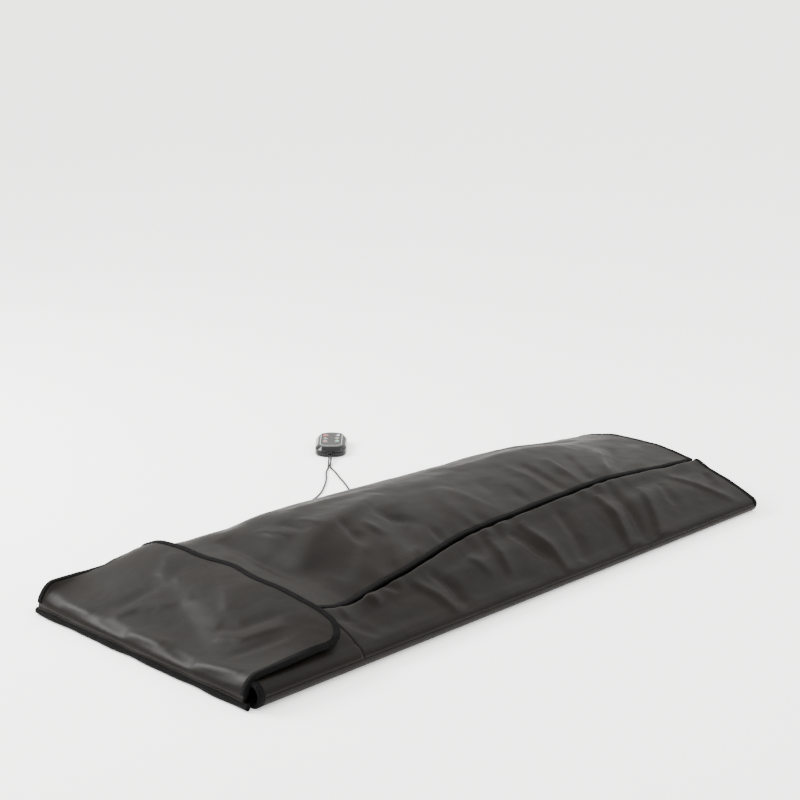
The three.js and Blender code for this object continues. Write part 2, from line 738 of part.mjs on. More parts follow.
// Keys: a flush disc on a stem that presses its switch.
const switchTop = boardTop + fitGap + switchSize[2];
for (const [word, [x, y]] of Object.entries(keyPlaces)) {
  const discDepth = overlayThickness + caseWall;
  const disc = postSolid(keyRadius, discDepth, [x, y, caseDepth - discDepth], 24);
  const stemFrom = switchTop + keyTravel + fitGap;
  const stem = postSolid(keyStemRadius, caseDepth - 2 - stemFrom, [x, y, stemFrom], 12);
  addMesh(`key_${word}`, geometryOf(disc.add(stem)), finish.overlay, controller);
  const shape = new THREE.BoxGeometry(...switchSize);
  const made = addMesh(`key_switch_${word}`, shape, finish.device, controller);
  made.position.set(x, y, boardTop + fitGap + switchSize[2] / 2);
}

const displayBase = boardTop + fitGap;
const displaySunk = 0.2;             // the windows lie this far below the overlay's face
const displayHeight = caseDepth - displaySunk - displayBase;
for (const [word, [x, y]] of Object.entries(displayPlaces)) {
  const shape = new THREE.BoxGeometry(...displaySize, displayHeight);
  const made = addMesh(`display_${word}`, shape, finish.display, controller);
  made.position.set(x, y, displayBase + displayHeight / 2);
}
const lamp = postSolid(lampRadius, caseDepth - displayBase, [keyColumn, lampRow, displayBase], 12);
addMesh('start_lamp', geometryOf(lamp), finish.lamp, controller);

// The circuit board sits on the bosses, with the relay and the transformer below it.
const boardSize = [2 * boardHalf[0], 2 * boardHalf[1], boardThickness];
let board = boxSolid(boardSize, [0, (bossRows[0] + bossRows[1]) / 2, boardLevel + boardThickness / 2]);
for (const [x, y] of bossPlaces) {
  board = board.subtract(postSolid(screwRadius + fitGap, 6, [x, y, boardLevel - 2], 16));
}
addMesh('circuit_board', geometryOf(board), finish.board, controller);

function hangUnderBoard(name, size, [x, y], material) {
  const mesh = addMesh(name, new THREE.BoxGeometry(...size), material, controller);
  mesh.position.set(x, y, boardLevel - fitGap - size[2] / 2);
}

hangUnderBoard('relay', relaySize, [-14, 24], finish.device);
hangUnderBoard('transformer', transformerSize, [10, -12], finish.device);

// Screws come in from the back, through the bosses and the board, into the front case.
bossPlaces.forEach(([x, y], i) => {
  const shank = postSolid(screwRadius, innerRoof - 2.5 - screwHeadDepth, [x, y, screwHeadDepth], 12);
  const head = postSolid(screwHeadRadius, screwHeadDepth - 0.3, [x, y, 0.3 + fitGap], 14);
  addMesh(`case_screw_${i + 1}`, geometryOf(shank.add(head)), finish.steel, controller);
});

// The boot: a neck held in the wall, a collar outside it and a tapered sleeve round both leads.
const collarFrom = caseBottom - fitGap;
const sleeveFrom = collarFrom - bootCollar[1];
const bootEnd = sleeveFrom - bootLength;

function bootRing([width, height], v, round = 0.3) {
  const [w, h] = [width / 2, height / 2];
  const r = round * height;
  return [
    [w - r, -h], [w, -h + r], [w, h - r], [w - r, h], [-w + r, h], [-w, h - r], [-w, -h + r], [-w + r, -h],
  ].map(([x, z]) => new THREE.Vector3(x, v, leadLevel + z));
}

const joined = 1;                    // its three parts run this far into each other
const collarSection = [bootCollar[0], bootCollar[2]];
const neckEnd = caseBottom + caseWall + neckInside;
const boot = solidOf(loft([bootRing(bootRoot, sleeveFrom + joined), bootRing(bootTip, bootEnd)]))
  .add(solidOf(loft([bootRing(collarSection, collarFrom), bootRing(collarSection, sleeveFrom)])))
  .add(solidOf(loft([bootRing(neckSize, collarFrom - joined), bootRing(neckSize, neckEnd)])));
addMesh('strain_relief', geometryOf(boot), finish.cable, controller);

// ---- leads ----

controller.updateMatrixWorld(true);
const leadSide = (leadDiameter + leadGap) / 2;

// A point straight ahead of the boot, out millimetres away, on one lead or the other.
function ahead(side, out, z) {
  return new THREE.Vector3(side * leadSide, bootEnd - out, z).applyMatrix4(controller.matrixWorld);
}

const leadExit = (side) => ahead(side, exitGap, leadLevel);

const rest = leadDiameter / 2;
const onFloor = (x, y) => new THREE.Vector3(x, y, rest);

function tube(points, steps) {
  const outline = new THREE.EllipseCurve(0, 0, leadDiameter / 2, leadDiameter / 2);
  const section = new THREE.Shape(outline.getPoints(8).slice(0, -1));
  const path = new THREE.CatmullRomCurve3(points, false, 'centripetal');
  return new THREE.ExtrudeGeometry(section, { steps, bevelEnabled: false, extrudePath: path });
}

// The blanket lead runs back behind the blanket and into its far side near the feet.
const entryY = halfWidth(entryPlace);
const entryLevel = 21;
const entryOuterY = entryY + entrySize[1] + 1;
const blanketLead = [
  leadExit(1), ahead(1, 14, leadLevel - 0.6), ahead(1, 40, 6.5), ahead(1, 68, rest),
  onFloor(318, 684), onFloor(292, 636), onFloor(266, 586), onFloor(232, 532),
  onFloor(176, 480), onFloor(96, 451), onFloor(0, 444), onFloor(-96, 450),
  onFloor(-190, 458), onFloor(-284, 458), onFloor(-378, 462), onFloor(-466, 470),
  onFloor(-548, 472), onFloor(-622, 458), new THREE.Vector3(entryPlace + 16, entryOuterY + 34, 8),
  new THREE.Vector3(entryPlace + 2, entryOuterY + 12, entryLevel - 1.5),
  new THREE.Vector3(entryPlace, entryOuterY + exitGap, entryLevel),
];
addMesh('blanket_lead', tube(blanketLead, 46), finish.cable);

const entryFit = 0.8;
const cableEntry = addMesh('cable_entry', new THREE.BoxGeometry(...entrySize), finish.cable);
cableEntry.position.set(entryPlace, entryY + entryFit + entrySize[1] / 2, entryLevel);

// The mains lead runs to a coil that is put away behind the blanket, and the plug lies beside it.
const coilPlace = [10, 490];
const coilRadius = coilMeanRadius + coilBundle / 2;
const mainsLead = [
  leadExit(-1), ahead(-1, 14, leadLevel - 0.6), ahead(-1, 40, 6.5), ahead(-1, 68, rest),
  onFloor(298, 698), onFloor(256, 652), onFloor(208, 608), onFloor(152, 566), onFloor(88, 538),
  onFloor(coilPlace[0] + 26, coilPlace[1] + coilRadius + rest + exitGap + 0.8),
  onFloor(coilPlace[0], coilPlace[1] + coilRadius + rest + exitGap),
];
addMesh('mains_lead', tube(mainsLead, 34), finish.cable);

// The coil's outer shape is a ring of a square section with its corners cut off.
const half = coilBundle / 2;
const flat = half - coilCut;
const ringProfile = [
  [-flat, -half], [flat, -half], [half, -flat], [half, flat],
  [flat, half], [-flat, half], [-half, flat], [-half, -flat], [-flat, -half],
].map(([r, z]) => new THREE.Vector2(coilMeanRadius + r, z));
const coil = addMesh('mains_coil', new THREE.LatheGeometry(ringProfile, 24), finish.cable);
coil.rotation.x = Math.PI / 2;
coil.position.set(coilPlace[0], coilPlace[1], half);

const plug = new THREE.Group();
plug.position.set(coilPlace[0] + coilRadius + exitGap, coilPlace[1], plugSize[2] / 2);
group.add(plug);
const plugRing = (x, share) => {
  const [w, h] = [plugSize[1] / 2 * share, plugSize[2] / 2 * share];
  return [
    [w, -h * 0.6], [w, h * 0.6], [w * 0.7, h], [-w * 0.7, h],
    [-w, h * 0.6], [-w, -h * 0.6], [-w * 0.7, -h], [w * 0.7, -h],
  ].map(([y, z]) => new THREE.Vector3(x, y, z));
};
const layPin = new THREE.Matrix4().makeRotationZ(Math.PI / 2);
const plugNeck = 0.5;                // share of the full section at the lead's end
const plugWaist = [0.4, 0.9];        // how far along the plug is nearly full, and how full
let plugSolid = solidOf(loft([
  plugRing(0, plugNeck), plugRing(plugSize[0] * plugWaist[0], plugWaist[1]), plugRing(plugSize[0], 1),
]));
for (const side of [-1, 1]) {
  const place = shift(plugSize[0] + pinLength / 2 - pinRoot, side * pinSpacing / 2, 0).multiply(layPin);
  const pin = new THREE.CylinderGeometry(pinRadius, pinRadius, pinLength + 2 * pinRoot, 12);
  plugSolid = plugSolid.add(solidOf(pin, place));
}
addMesh('mains_plug', geometryOf(plugSolid), finish.cable, plug);

export default group;
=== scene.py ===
import math
import bmesh
import bpy
import numpy as np
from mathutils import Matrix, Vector, noise


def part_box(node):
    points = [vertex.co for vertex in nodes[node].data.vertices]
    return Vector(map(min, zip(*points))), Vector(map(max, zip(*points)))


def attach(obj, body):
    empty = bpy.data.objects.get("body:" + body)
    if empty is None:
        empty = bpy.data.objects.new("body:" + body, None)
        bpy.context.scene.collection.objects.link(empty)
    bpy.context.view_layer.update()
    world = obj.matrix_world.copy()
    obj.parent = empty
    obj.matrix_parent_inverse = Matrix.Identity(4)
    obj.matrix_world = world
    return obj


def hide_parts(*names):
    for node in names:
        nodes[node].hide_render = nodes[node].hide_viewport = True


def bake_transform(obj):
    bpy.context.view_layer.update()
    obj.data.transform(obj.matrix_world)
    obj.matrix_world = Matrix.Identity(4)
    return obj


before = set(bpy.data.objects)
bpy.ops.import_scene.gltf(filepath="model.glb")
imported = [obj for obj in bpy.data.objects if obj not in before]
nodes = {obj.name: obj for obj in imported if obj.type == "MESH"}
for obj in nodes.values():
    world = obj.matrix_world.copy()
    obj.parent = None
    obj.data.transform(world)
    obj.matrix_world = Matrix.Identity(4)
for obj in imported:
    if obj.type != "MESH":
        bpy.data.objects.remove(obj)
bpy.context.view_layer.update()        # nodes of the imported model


# camera, floor and light

camera = {"place": (-3.627, -3.664, 1.937), "down": 16.38, "turn": -44, "lens": 99, "sensor": 36}
studio = {
    "floor": (0.98, 0.976, 0.968),
    "sky": (1.0, 0.995, 0.98), "skyStrength": 3.3, "horizon": 0.22, "floorGlow": 0.45,
    "floorReach": 14, "floorLevel": -0.0006,
    "key": {"place": (-1.6, 2.6, 2.2), "size": 1.5, "power": 260, "aim": (-0.1, 0, 0.1)},
    "fill": {"place": (-3.6, -1.0, 2.4), "size": 2.0, "power": 20, "aim": (-0.3, 0, 0.1)},
    "front": {"place": (2.6, -1.6, 2.2), "size": 1.6, "power": 40, "aim": (0.3, 0, 0.1)},
}


def makeCamera():
    data = bpy.data.cameras.new("camera")
    data.sensor_width = camera["sensor"]
    data.lens = camera["lens"]
    data.clip_end = 60
    thing = bpy.data.objects.new("camera", data)
    thing.location = camera["place"]
    thing.rotation_euler = (math.radians(90 - camera["down"]), 0, math.radians(camera["turn"]))
    bpy.context.scene.collection.objects.link(thing)
    bpy.context.scene.camera = thing


def makeSoftbox(name, place, size, power, aim):
    data = bpy.data.lights.new(name, "AREA")
    data.size = size
    data.energy = power
    thing = bpy.data.objects.new(name, data)
    thing.location = place
    thing.rotation_euler = (Vector(aim) - Vector(place)).to_track_quat("-Z", "Y").to_euler()
    bpy.context.scene.collection.objects.link(thing)


def makeSky():
    world = bpy.data.worlds.new("studio")
    world.use_nodes = True
    tree = world.node_tree
    background = tree.nodes["Background"]
    background.inputs["Strength"].default_value = studio["skyStrength"]
    # dimmer towards the horizon, so that low-angle gloss stays dark
    coords = tree.nodes.new("ShaderNodeTexCoord")
    parts = tree.nodes.new("ShaderNodeSeparateXYZ")
    shade = tree.nodes.new("ShaderNodeValToRGB")
    low, high = shade.color_ramp.elements
    low.position, low.color = 0.02, (*[channel * studio["horizon"] for channel in studio["sky"]], 1)
    high.position, high.color = 0.60, (*studio["sky"], 1)
    tree.links.new(coords.outputs["Generated"], parts.inputs["Vector"])
    tree.links.new(parts.outputs["Z"], shade.inputs["Fac"])
    tree.links.new(shade.outputs["Color"], background.inputs["Color"])
    bpy.context.scene.world = world


makeCamera()
makeSky()
for lightName in ("key", "fill", "front"):
    makeSoftbox(lightName, **studio[lightName])
print("camera and light made")


# materials

def newMaterial(name, **settings):
    material = bpy.data.materials.new(name)
    material.use_nodes = True
    shader = material.node_tree.nodes["Principled BSDF"]
    for key, value in settings.items():
        shader.inputs[key].default_value = (*value, 1) if isinstance(value, tuple) else value
    return material, shader


def addNode(material, kind, **settings):
    node = material.node_tree.nodes.new(kind)
    for key, value in settings.items():
        if key in node.inputs:
            node.inputs[key].default_value = value
        else:
            setattr(node, key, value)
    return node


def link(material, fromSocket, toSocket):
    material.node_tree.links.new(fromSocket, toSocket)


def placeOf(material, useUv, stretch=(1, 1, 1)):
    coords = addNode(material, "ShaderNodeTexCoord")
    mapping = addNode(material, "ShaderNodeMapping")
    mapping.inputs["Scale"].default_value = stretch
    link(material, coords.outputs["UV" if useUv else "Object"], mapping.inputs["Vector"])
    return mapping.outputs["Vector"]


def rampOf(material, source, stops):
    ramp = addNode(material, "ShaderNodeValToRGB")
    elements = ramp.color_ramp.elements
    while len(elements) < len(stops):
        elements.new(0.5)
    for element, (position, colour) in zip(elements, stops):
        element.position = position
        element.color = (*colour, 1)
    link(material, source, ramp.inputs["Fac"])
    return ramp.outputs["Color"]


def spanOf(material, source, low, high):
    span = addNode(material, "ShaderNodeMapRange")
    span.inputs["To Min"].default_value = low
    span.inputs["To Max"].default_value = high
    link(material, source, span.inputs["Value"])
    return span.outputs["Result"]


def noiseOf(material, vector, scale, detail=3, rough=0.5):
    texture = addNode(material, "ShaderNodeTexNoise")
    texture.inputs["Scale"].default_value = scale
    texture.inputs["Detail"].default_value = detail
    texture.inputs["Roughness"].default_value = rough
    link(material, vector, texture.inputs["Vector"])
    return texture.outputs["Fac"]


def bumpOf(material, height, strength, distance, under=None):
    bump = addNode(material, "ShaderNodeBump")
    bump.inputs["Strength"].default_value = strength
    bump.inputs["Distance"].default_value = distance
    link(material, height, bump.inputs["Height"])
    if under:
        link(material, under, bump.inputs["Normal"])
    return bump.outputs["Normal"]


leather = {"dark": (0.0026, 0.0021, 0.0015), "light": (0.0054, 0.0043, 0.0031), "grain": 620, "crease": 24}


def makeLeather(name, dark, light, grain, crease):
    # satin coated cloth: a soft mottle, a fine pebble grain and shallow creases
    material, shader = newMaterial(name, **{"Specular IOR Level": 0.064, "Sheen Weight": 0.01,
                                            "Sheen Roughness": 0.5, "Sheen Tint": (0.75, 0.66, 0.55)})
    place = placeOf(material, True)
    mottle = noiseOf(material, place, 5, 4, 0.6)
    link(material, rampOf(material, mottle, [(0.3, dark), (0.75, light)]), shader.inputs["Base Color"])
    link(material, spanOf(material, noiseOf(material, place, 18, 3), 0.38, 0.52), shader.inputs["Roughness"])
    cells = addNode(material, "ShaderNodeTexVoronoi", feature="SMOOTH_F1")
    cells.inputs["Scale"].default_value = grain
    cells.inputs["Smoothness"].default_value = 0.6
    link(material, place, cells.inputs["Vector"])
    fine = bumpOf(material, cells.outputs["Distance"], 0.10, 0.0006)
    creases = noiseOf(material, placeOf(material, True, (1, 0.45, 1)), crease, 5, 0.55)
    link(material, bumpOf(material, creases, 0.22, 0.004, fine), shader.inputs["Normal"])
    return material


def makeTape(name, colour, rib, sheen=0.1):
    # woven edge tape: fine ribs across its length
    material, shader = newMaterial(name, **{"Specular IOR Level": 0.06, "Sheen Weight": sheen,
                                            "Sheen Roughness": 0.4, "Sheen Tint": (0.8, 0.8, 0.8)})
    place = placeOf(material, True)
    ribs = addNode(material, "ShaderNodeTexWave", wave_type="BANDS", bands_direction="X")
    ribs.inputs["Scale"].default_value = rib
    ribs.inputs["Distortion"].default_value = 0.6
    ribs.inputs["Detail Scale"].default_value = 8
    link(material, place, ribs.inputs["Vector"])
    threads = noiseOf(material, place, 900, 2)
    dark = tuple(channel * 0.55 for channel in colour)
    tint = rampOf(material, ribs.outputs["Fac"], [(0.1, dark), (0.7, colour)])
    link(material, tint, shader.inputs["Base Color"])
    link(material, spanOf(material, threads, 0.62, 0.85), shader.inputs["Roughness"])
    woven = bumpOf(material, threads, 0.3, 0.0003)
    link(material, bumpOf(material, ribs.outputs["Fac"], 0.55, 0.0008, woven), shader.inputs["Normal"])
    return material


def makeLining(name):
    # wipe-clean coated lining with a faint slanting weave
    material, shader = newMaterial(name, **{"Specular IOR Level": 0.12})
    place = placeOf(material, True)
    weave = addNode(material, "ShaderNodeTexWave", wave_type="BANDS", bands_direction="DIAGONAL")
    weave.inputs["Scale"].default_value = 260
    link(material, place, weave.inputs["Vector"])
    mottle = noiseOf(material, place, 9, 4)
    tint = rampOf(material, mottle, [(0.3, (0.0035, 0.0035, 0.0040)), (0.8, (0.0080, 0.0080, 0.0090))])
    link(material, tint, shader.inputs["Base Color"])
    link(material, spanOf(material, mottle, 0.34, 0.5), shader.inputs["Roughness"])
    fine = bumpOf(material, weave.outputs["Fac"], 0.15, 0.0003)
    creases = noiseOf(material, place, 34, 5, 0.6)
    link(material, bumpOf(material, creases, 0.25, 0.004, fine), shader.inputs["Normal"])
    return material


def makePile(name, colour, scale, tall):
    # hook or loop tape: a dense field of small tufts
    material, shader = newMaterial(name, **{"Specular IOR Level": 0.1, "Sheen Weight": 0.02,
                                            "Roughness": 0.9})
    place = placeOf(material, False)
    tufts = addNode(material, "ShaderNodeTexVoronoi", feature="F1")
    tufts.inputs["Scale"].default_value = scale
    link(material, place, tufts.inputs["Vector"])
    dark = tuple(channel * 0.4 for channel in colour)
    tint = rampOf(material, tufts.outputs["Distance"], [(0.1, colour), (0.6, dark)])
    link(material, tint, shader.inputs["Base Color"])
    link(material, bumpOf(material, tufts.outputs["Distance"], 0.9, tall), shader.inputs["Normal"])
    return material


def makeMoulded(name, colour, rough, grain=0.0, coat=0.0, spread=0.04, shine=0.5):
    # moulded plastic or rubber: slight colour and gloss variation, with a fine surface texture
    material, shader = newMaterial(name, **{"Specular IOR Level": shine, "Coat Weight": coat,
                                            "Coat Roughness": 0.04})
    place = placeOf(material, False)
    cloud = noiseOf(material, place, 40, 4)
    dark = tuple(channel * 0.8 for channel in colour)
    link(material, rampOf(material, cloud, [(0.3, dark), (0.7, colour)]), shader.inputs["Base Color"])
    link(material, spanOf(material, cloud, rough - spread, rough + spread), shader.inputs["Roughness"])
    texture = noiseOf(material, place, 2200, 2)
    link(material, bumpOf(material, texture, grain, 0.0002), shader.inputs["Normal"])
    return material


def makeMetal(name, colour, rough):
    # plated metal with fine turning marks
    material, shader = newMaterial(name, Metallic=1.0)
    marks = noiseOf(material, placeOf(material, False, (1, 1, 30)), 300, 3)
    dark = tuple(channel * 0.75 for channel in colour)
    link(material, rampOf(material, marks, [(0.3, dark), (0.7, colour)]), shader.inputs["Base Color"])
    link(material, spanOf(material, marks, rough, rough + 0.15), shader.inputs["Roughness"])
    link(material, bumpOf(material, marks, 0.1, 0.0002), shader.inputs["Normal"])
    return material


def makeBoard(name):
    # circuit board: green lacquer over copper tracks
    material, shader = newMaterial(name, **{"Coat Weight": 0.4, "Coat Roughness": 0.15})
    place = placeOf(material, False)
    tracks = addNode(material, "ShaderNodeTexBrick")
    tracks.inputs["Scale"].default_value = 180
    tracks.inputs["Mortar Size"].default_value = 0.03
    tracks.inputs["Color1"].default_value = (0.012, 0.10, 0.035, 1)
    tracks.inputs["Color2"].default_value = (0.016, 0.12, 0.045, 1)
    tracks.inputs["Mortar"].default_value = (0.03, 0.19, 0.06, 1)
    link(material, place, tracks.inputs["Vector"])
    link(material, tracks.outputs["Color"], shader.inputs["Base Color"])
    link(material, spanOf(material, noiseOf(material, place, 90), 0.3, 0.5), shader.inputs["Roughness"])
    link(material, bumpOf(material, tracks.outputs["Fac"], 0.3, 0.0003), shader.inputs["Normal"])
    return material


def makeLit(name, colour, strength):
    # a lit mark: its glow is a little uneven, like a small lamp behind a mask
    material, shader = newMaterial(name, **{"Roughness": 0.3, "Emission Strength": strength})
    cloud = noiseOf(material, placeOf(material, False), 700, 2)
    dark = tuple(channel * 0.8 for channel in colour)
    glow = rampOf(material, cloud, [(0.3, dark), (0.7, colour)])
    link(material, glow, shader.inputs["Base Color"])
    link(material, glow, shader.inputs["Emission Color"])
    return material


coverLeather = makeLeather("cover leather", **leather)
liningCloth = makeLining("lining cloth")
bindingTape = makeTape("binding tape", (0.0011, 0.0011, 0.0011), 420, 0.0)
hookPile = makePile("hook tape", (0.004, 0.004, 0.0045), 900, 0.0012)
loopPile = makePile("loop tape", (0.007, 0.007, 0.0075), 620, 0.0016)
caseGloss = makeMoulded("case plastic", (0.0020, 0.0020, 0.0024), 0.11, 0.02, 0.0, 0.03, 0.22)
overlayGloss = makeMoulded("overlay plastic", (0.0014, 0.0022, 0.0022), 0.08, 0.01, 0.0, 0.02, 0.14)
displayWindow = makeMoulded("display window", (0.030, 0.024, 0.024), 0.2, 0.05, 0.0, 0.04, 0.2)
leadRubber = makeMoulded("lead rubber", (0.0025, 0.0025, 0.0028), 0.34, 0.12, 0.0, 0.04, 0.16)
bootRubber = makeMoulded("boot rubber", (0.0032, 0.0032, 0.0035), 0.42, 0.3, 0.0, 0.04, 0.16)
devicePlastic = makeMoulded("device plastic", (0.02, 0.023, 0.03), 0.45, 0.3)
platedSteel = makeMetal("plated steel", (0.55, 0.56, 0.58), 0.22)
boardLacquer = makeBoard("board lacquer")
silverPrint = makeMoulded("silver print", (0.5, 0.5, 0.49), 0.35, 0.2)
whitePrint = makeMoulded("white print", (0.62, 0.62, 0.6), 0.45, 0.2)
redLit = makeLit("red lit", (1.0, 0.06, 0.05), 2.2)
dimLit = makeLit("dim segment", (0.12, 0.10, 0.10), 0.1)
whiteLit = makeLit("white lit", (0.85, 0.9, 1.0), 1.8)
greenLit = makeLit("green lit", (0.05, 0.75, 0.30), 1.6)
lampLit = makeLit("lamp lit", (0.60, 0.95, 0.08), 3.0)
print("materials made")


def dress(thing, *materials):
    thing.data.materials.clear()
    for material in materials:
        thing.data.materials.append(material)


def finishOf(thing, body, slot, *replaced):
    # rides on its body, if it has one, and stands for these solids, which it hides
    if body:
        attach(thing, body)
    if replaced:
        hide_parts(*replaced)


# mesh helpers

def makeMesh(name, points, faces, uvs=None, smooth=True):
    data = bpy.data.meshes.new(name)
    data.from_pydata([tuple(p) for p in points], [], faces)
    data.validate()
    if uvs is not None:
        layer = data.uv_layers.new(name="cloth")
        corners = np.zeros(len(data.loops), dtype=np.int32)
        data.loops.foreach_get("vertex_index", corners)
        layer.data.foreach_set("uv", np.asarray(uvs, dtype=np.float32)[corners].ravel())
    data.polygons.foreach_set("use_smooth", [smooth] * len(data.polygons))
    data.update()
    thing = bpy.data.objects.new(name, data)
    bpy.context.scene.collection.objects.link(thing)
    return thing


def gridNormals(grid):
    # unit normals of a grid of points, rows by columns
    down = np.gradient(grid, axis=0)
    along = np.gradient(grid, axis=1)
    normals = np.cross(along, down)
    return normals / np.maximum(np.linalg.norm(normals, axis=2, keepdims=True), 1e-12)


def facing(normals, way):
    # turned over where the middle one points the other way
    middle = normals[normals.shape[0] // 2, normals.shape[1] // 2]
    return normals if np.dot(middle, way) > 0 else -normals


def gridUvs(grid):
    # lengths along the cloth, in metres
    along = np.linalg.norm(np.diff(grid, axis=1), axis=2)
    down = np.linalg.norm(np.diff(grid, axis=0), axis=2)
    u = np.concatenate([np.zeros((grid.shape[0], 1)), np.cumsum(along, axis=1)], axis=1)
    v = np.concatenate([np.zeros((1, grid.shape[1])), np.cumsum(down, axis=0)], axis=0)
    return np.stack([u, v], axis=2)


def signedVolume(points, faces):
    points = np.asarray(points)
    triangles = np.array([(f[0], f[i], f[i + 1]) for f in faces for i in range(1, len(f) - 1)])
    a, b, c = (points[triangles[:, k]] for k in range(3))
    return float(np.sum(a * np.cross(b, c)))


def turnedOut(points, faces):
    if signedVolume(points, faces) < 0:
        return [tuple(reversed(face)) for face in faces]
    return faces


def makeSlab(name, outer, inner):
    # a closed slab of cloth between two grids of points
    rows, columns = outer.shape[:2]
    points = np.concatenate([outer.reshape(-1, 3), inner.reshape(-1, 3)])
    uvs = np.concatenate([gridUvs(outer).reshape(-1, 2), gridUvs(inner).reshape(-1, 2)])
    under = rows * columns
    faces = []
    for i in range(rows - 1):
        for j in range(columns - 1):
            a = i * columns + j
            square = (a, a + 1, a + columns + 1, a + columns)
            faces.append(square)
            faces.append(tuple(under + k for k in reversed(square)))
    rim = [i for i in range(columns)]
    rim += [i * columns + columns - 1 for i in range(1, rows)]
    rim += [(rows - 1) * columns + i for i in range(columns - 2, -1, -1)]
    rim += [i * columns for i in range(rows - 2, 0, -1)]
    for a, b in zip(rim, rim[1:] + rim[:1]):
        faces.append((b, a, under + a, under + b))
    return makeMesh(name, points, turnedOut(points, faces), uvs)


def makeSweep(name, places, outs, normals, section, closed=False):
    # a section of (out, up) pairs carried along a row of places
    rings = []
    for place, out, normal in zip(places, outs, normals):
        rings.append([place + out * u + normal * v for u, v in section])
    count = len(section)
    points = [point for ring in rings for point in ring]
    steps = np.linalg.norm(np.diff(np.array(places), axis=0), axis=1)
    run = np.concatenate([[0], np.cumsum(steps)])
    girth = np.linalg.norm(np.diff(np.array(section + section[:1]), axis=0), axis=1)
    around = np.concatenate([[0], np.cumsum(girth)])[:count]
    uvs = [(run[i], around[j]) for i in range(len(rings)) for j in range(count)]
    faces = []
    last = len(rings) if closed else len(rings) - 1
    for i in range(last):
        for j in range(count):
            k = (j + 1) % count
            a, b = i * count, ((i + 1) % len(rings)) * count
            faces.append((a + j, b + j, b + k, a + k))
    if not closed:
        faces.append(tuple(reversed(range(count))))
        faces.append(tuple((len(rings) - 1) * count + j for j in range(count)))
    return makeMesh(name, points, turnedOut(points, faces), uvs)


def ease(value, start, end):
    share = np.clip((value - start) / (end - start), 0, 1)
    return share * share * (3 - 2 * share)


def blurRows(grid, passes, first, last):
    # evens out the rows from first to last, keeping the ends where they are
    for _ in range(passes):
        middle = grid[first:last]
        grid[first:last] = 0.5 * middle + 0.25 * (grid[first - 1:last - 1] + grid[first + 1:last + 1])


# the blanket's shape

blanket = {
    "footHalf": 0.400, "headHalf": 0.340,         # half widths at the foot and the head
    "footRoll": 0.030, "headRoll": 0.020,         # radius of the fold along each long side
    "footHeight": 0.034, "ankleHeight": 0.120, "feetHeight": 0.176,
    "chestHeight": 0.165, "neckHeight": 0.106,    # ridge heights from the foot to the neck
    "crest": 0.060,                               # the ridge lies this far to the far side
    "closureFoot": -0.205, "closureHead": -0.118, "closureSag": 0.036,
    "lap": 0.060, "lapDip": 0.0142,               # the near panel runs on below the far one
    "padding": 0.0085, "stack": 0.0109,           # cover with its filling, and all the layers
    "gap": 0.0003,                                # between the cover and the lining
    "flapNear": 0.364, "flapFar": 0.378, "flapCorner": 0.062, "flapLift": 0.006, "flapFold": 0.040,
    "footFold": 0.020, "seamHeight": 0.021,
}

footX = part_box("foot_flap_outer_cover")[0].x
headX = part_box("base_inner_lining")[1].x
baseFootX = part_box("base_outer_cover")[0].x
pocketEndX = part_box("foot_pocket_outer_cover")[1].x
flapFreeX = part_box("foot_flap_outer_cover")[1].x


def alongShare(x):
    return (x - footX) / (headX - footX)


def halfWidth(x):
    return blanket["footHalf"] + alongShare(x) * (blanket["headHalf"] - blanket["footHalf"])


def rollAt(x):
    return blanket["footRoll"] + alongShare(x) * (blanket["headRoll"] - blanket["footRoll"])


def closureAt(x):
    share = (x - pocketEndX) / (headX - pocketEndX)
    straight = blanket["closureFoot"] + share * (blanket["closureHead"] - blanket["closureFoot"])
    sag = ease(x, pocketEndX - 0.10, pocketEndX + 0.05) * (1 - ease(x, -0.35, -0.02))
    return straight - blanket["closureSag"] * sag


def ridgeHeight(x):
    b = blanket
    return (b["footHeight"]
            + (b["ankleHeight"] - b["footHeight"]) * ease(x, footX, 0.62 * footX)
            + (b["feetHeight"] - b["ankleHeight"]) * ease(x, 0.60 * footX, 0.33 * footX)
            - (b["feetHeight"] - b["chestHeight"]) * ease(x, 0.30 * footX, 0.44 * headX)
            - (b["chestHeight"] - b["neckHeight"]) * ease(x, 0.45 * headX, 1.08 * headX))


def smoothTop(x, y):
    # full and flat over the foot end, rounder over the body, fuller on the far side
    crest = blanket["crest"]
    reach = halfWidth(x) - rollAt(x)
    far = y > crest
    across = np.minimum(1, np.abs(y - crest) / np.where(far, reach - crest, reach + crest))
    foot = 1 - ease(x, 0.66 * footX, np.where(far, 0.42, 0.52) * footX)
    nearPower = 1.8 + 0.4 * ease(x, -0.2 * headX, 0.25 * headX)
    power = np.where(far, 2 + 4 * foot, nearPower + (3 - nearPower) * foot)
    fullness = np.where(far, 0.6 - 0.1 * foot, 1 - 0.3 * foot)
    side = 2 * rollAt(x)
    return side + (ridgeHeight(x) - side) * (1 - across ** power) ** fullness


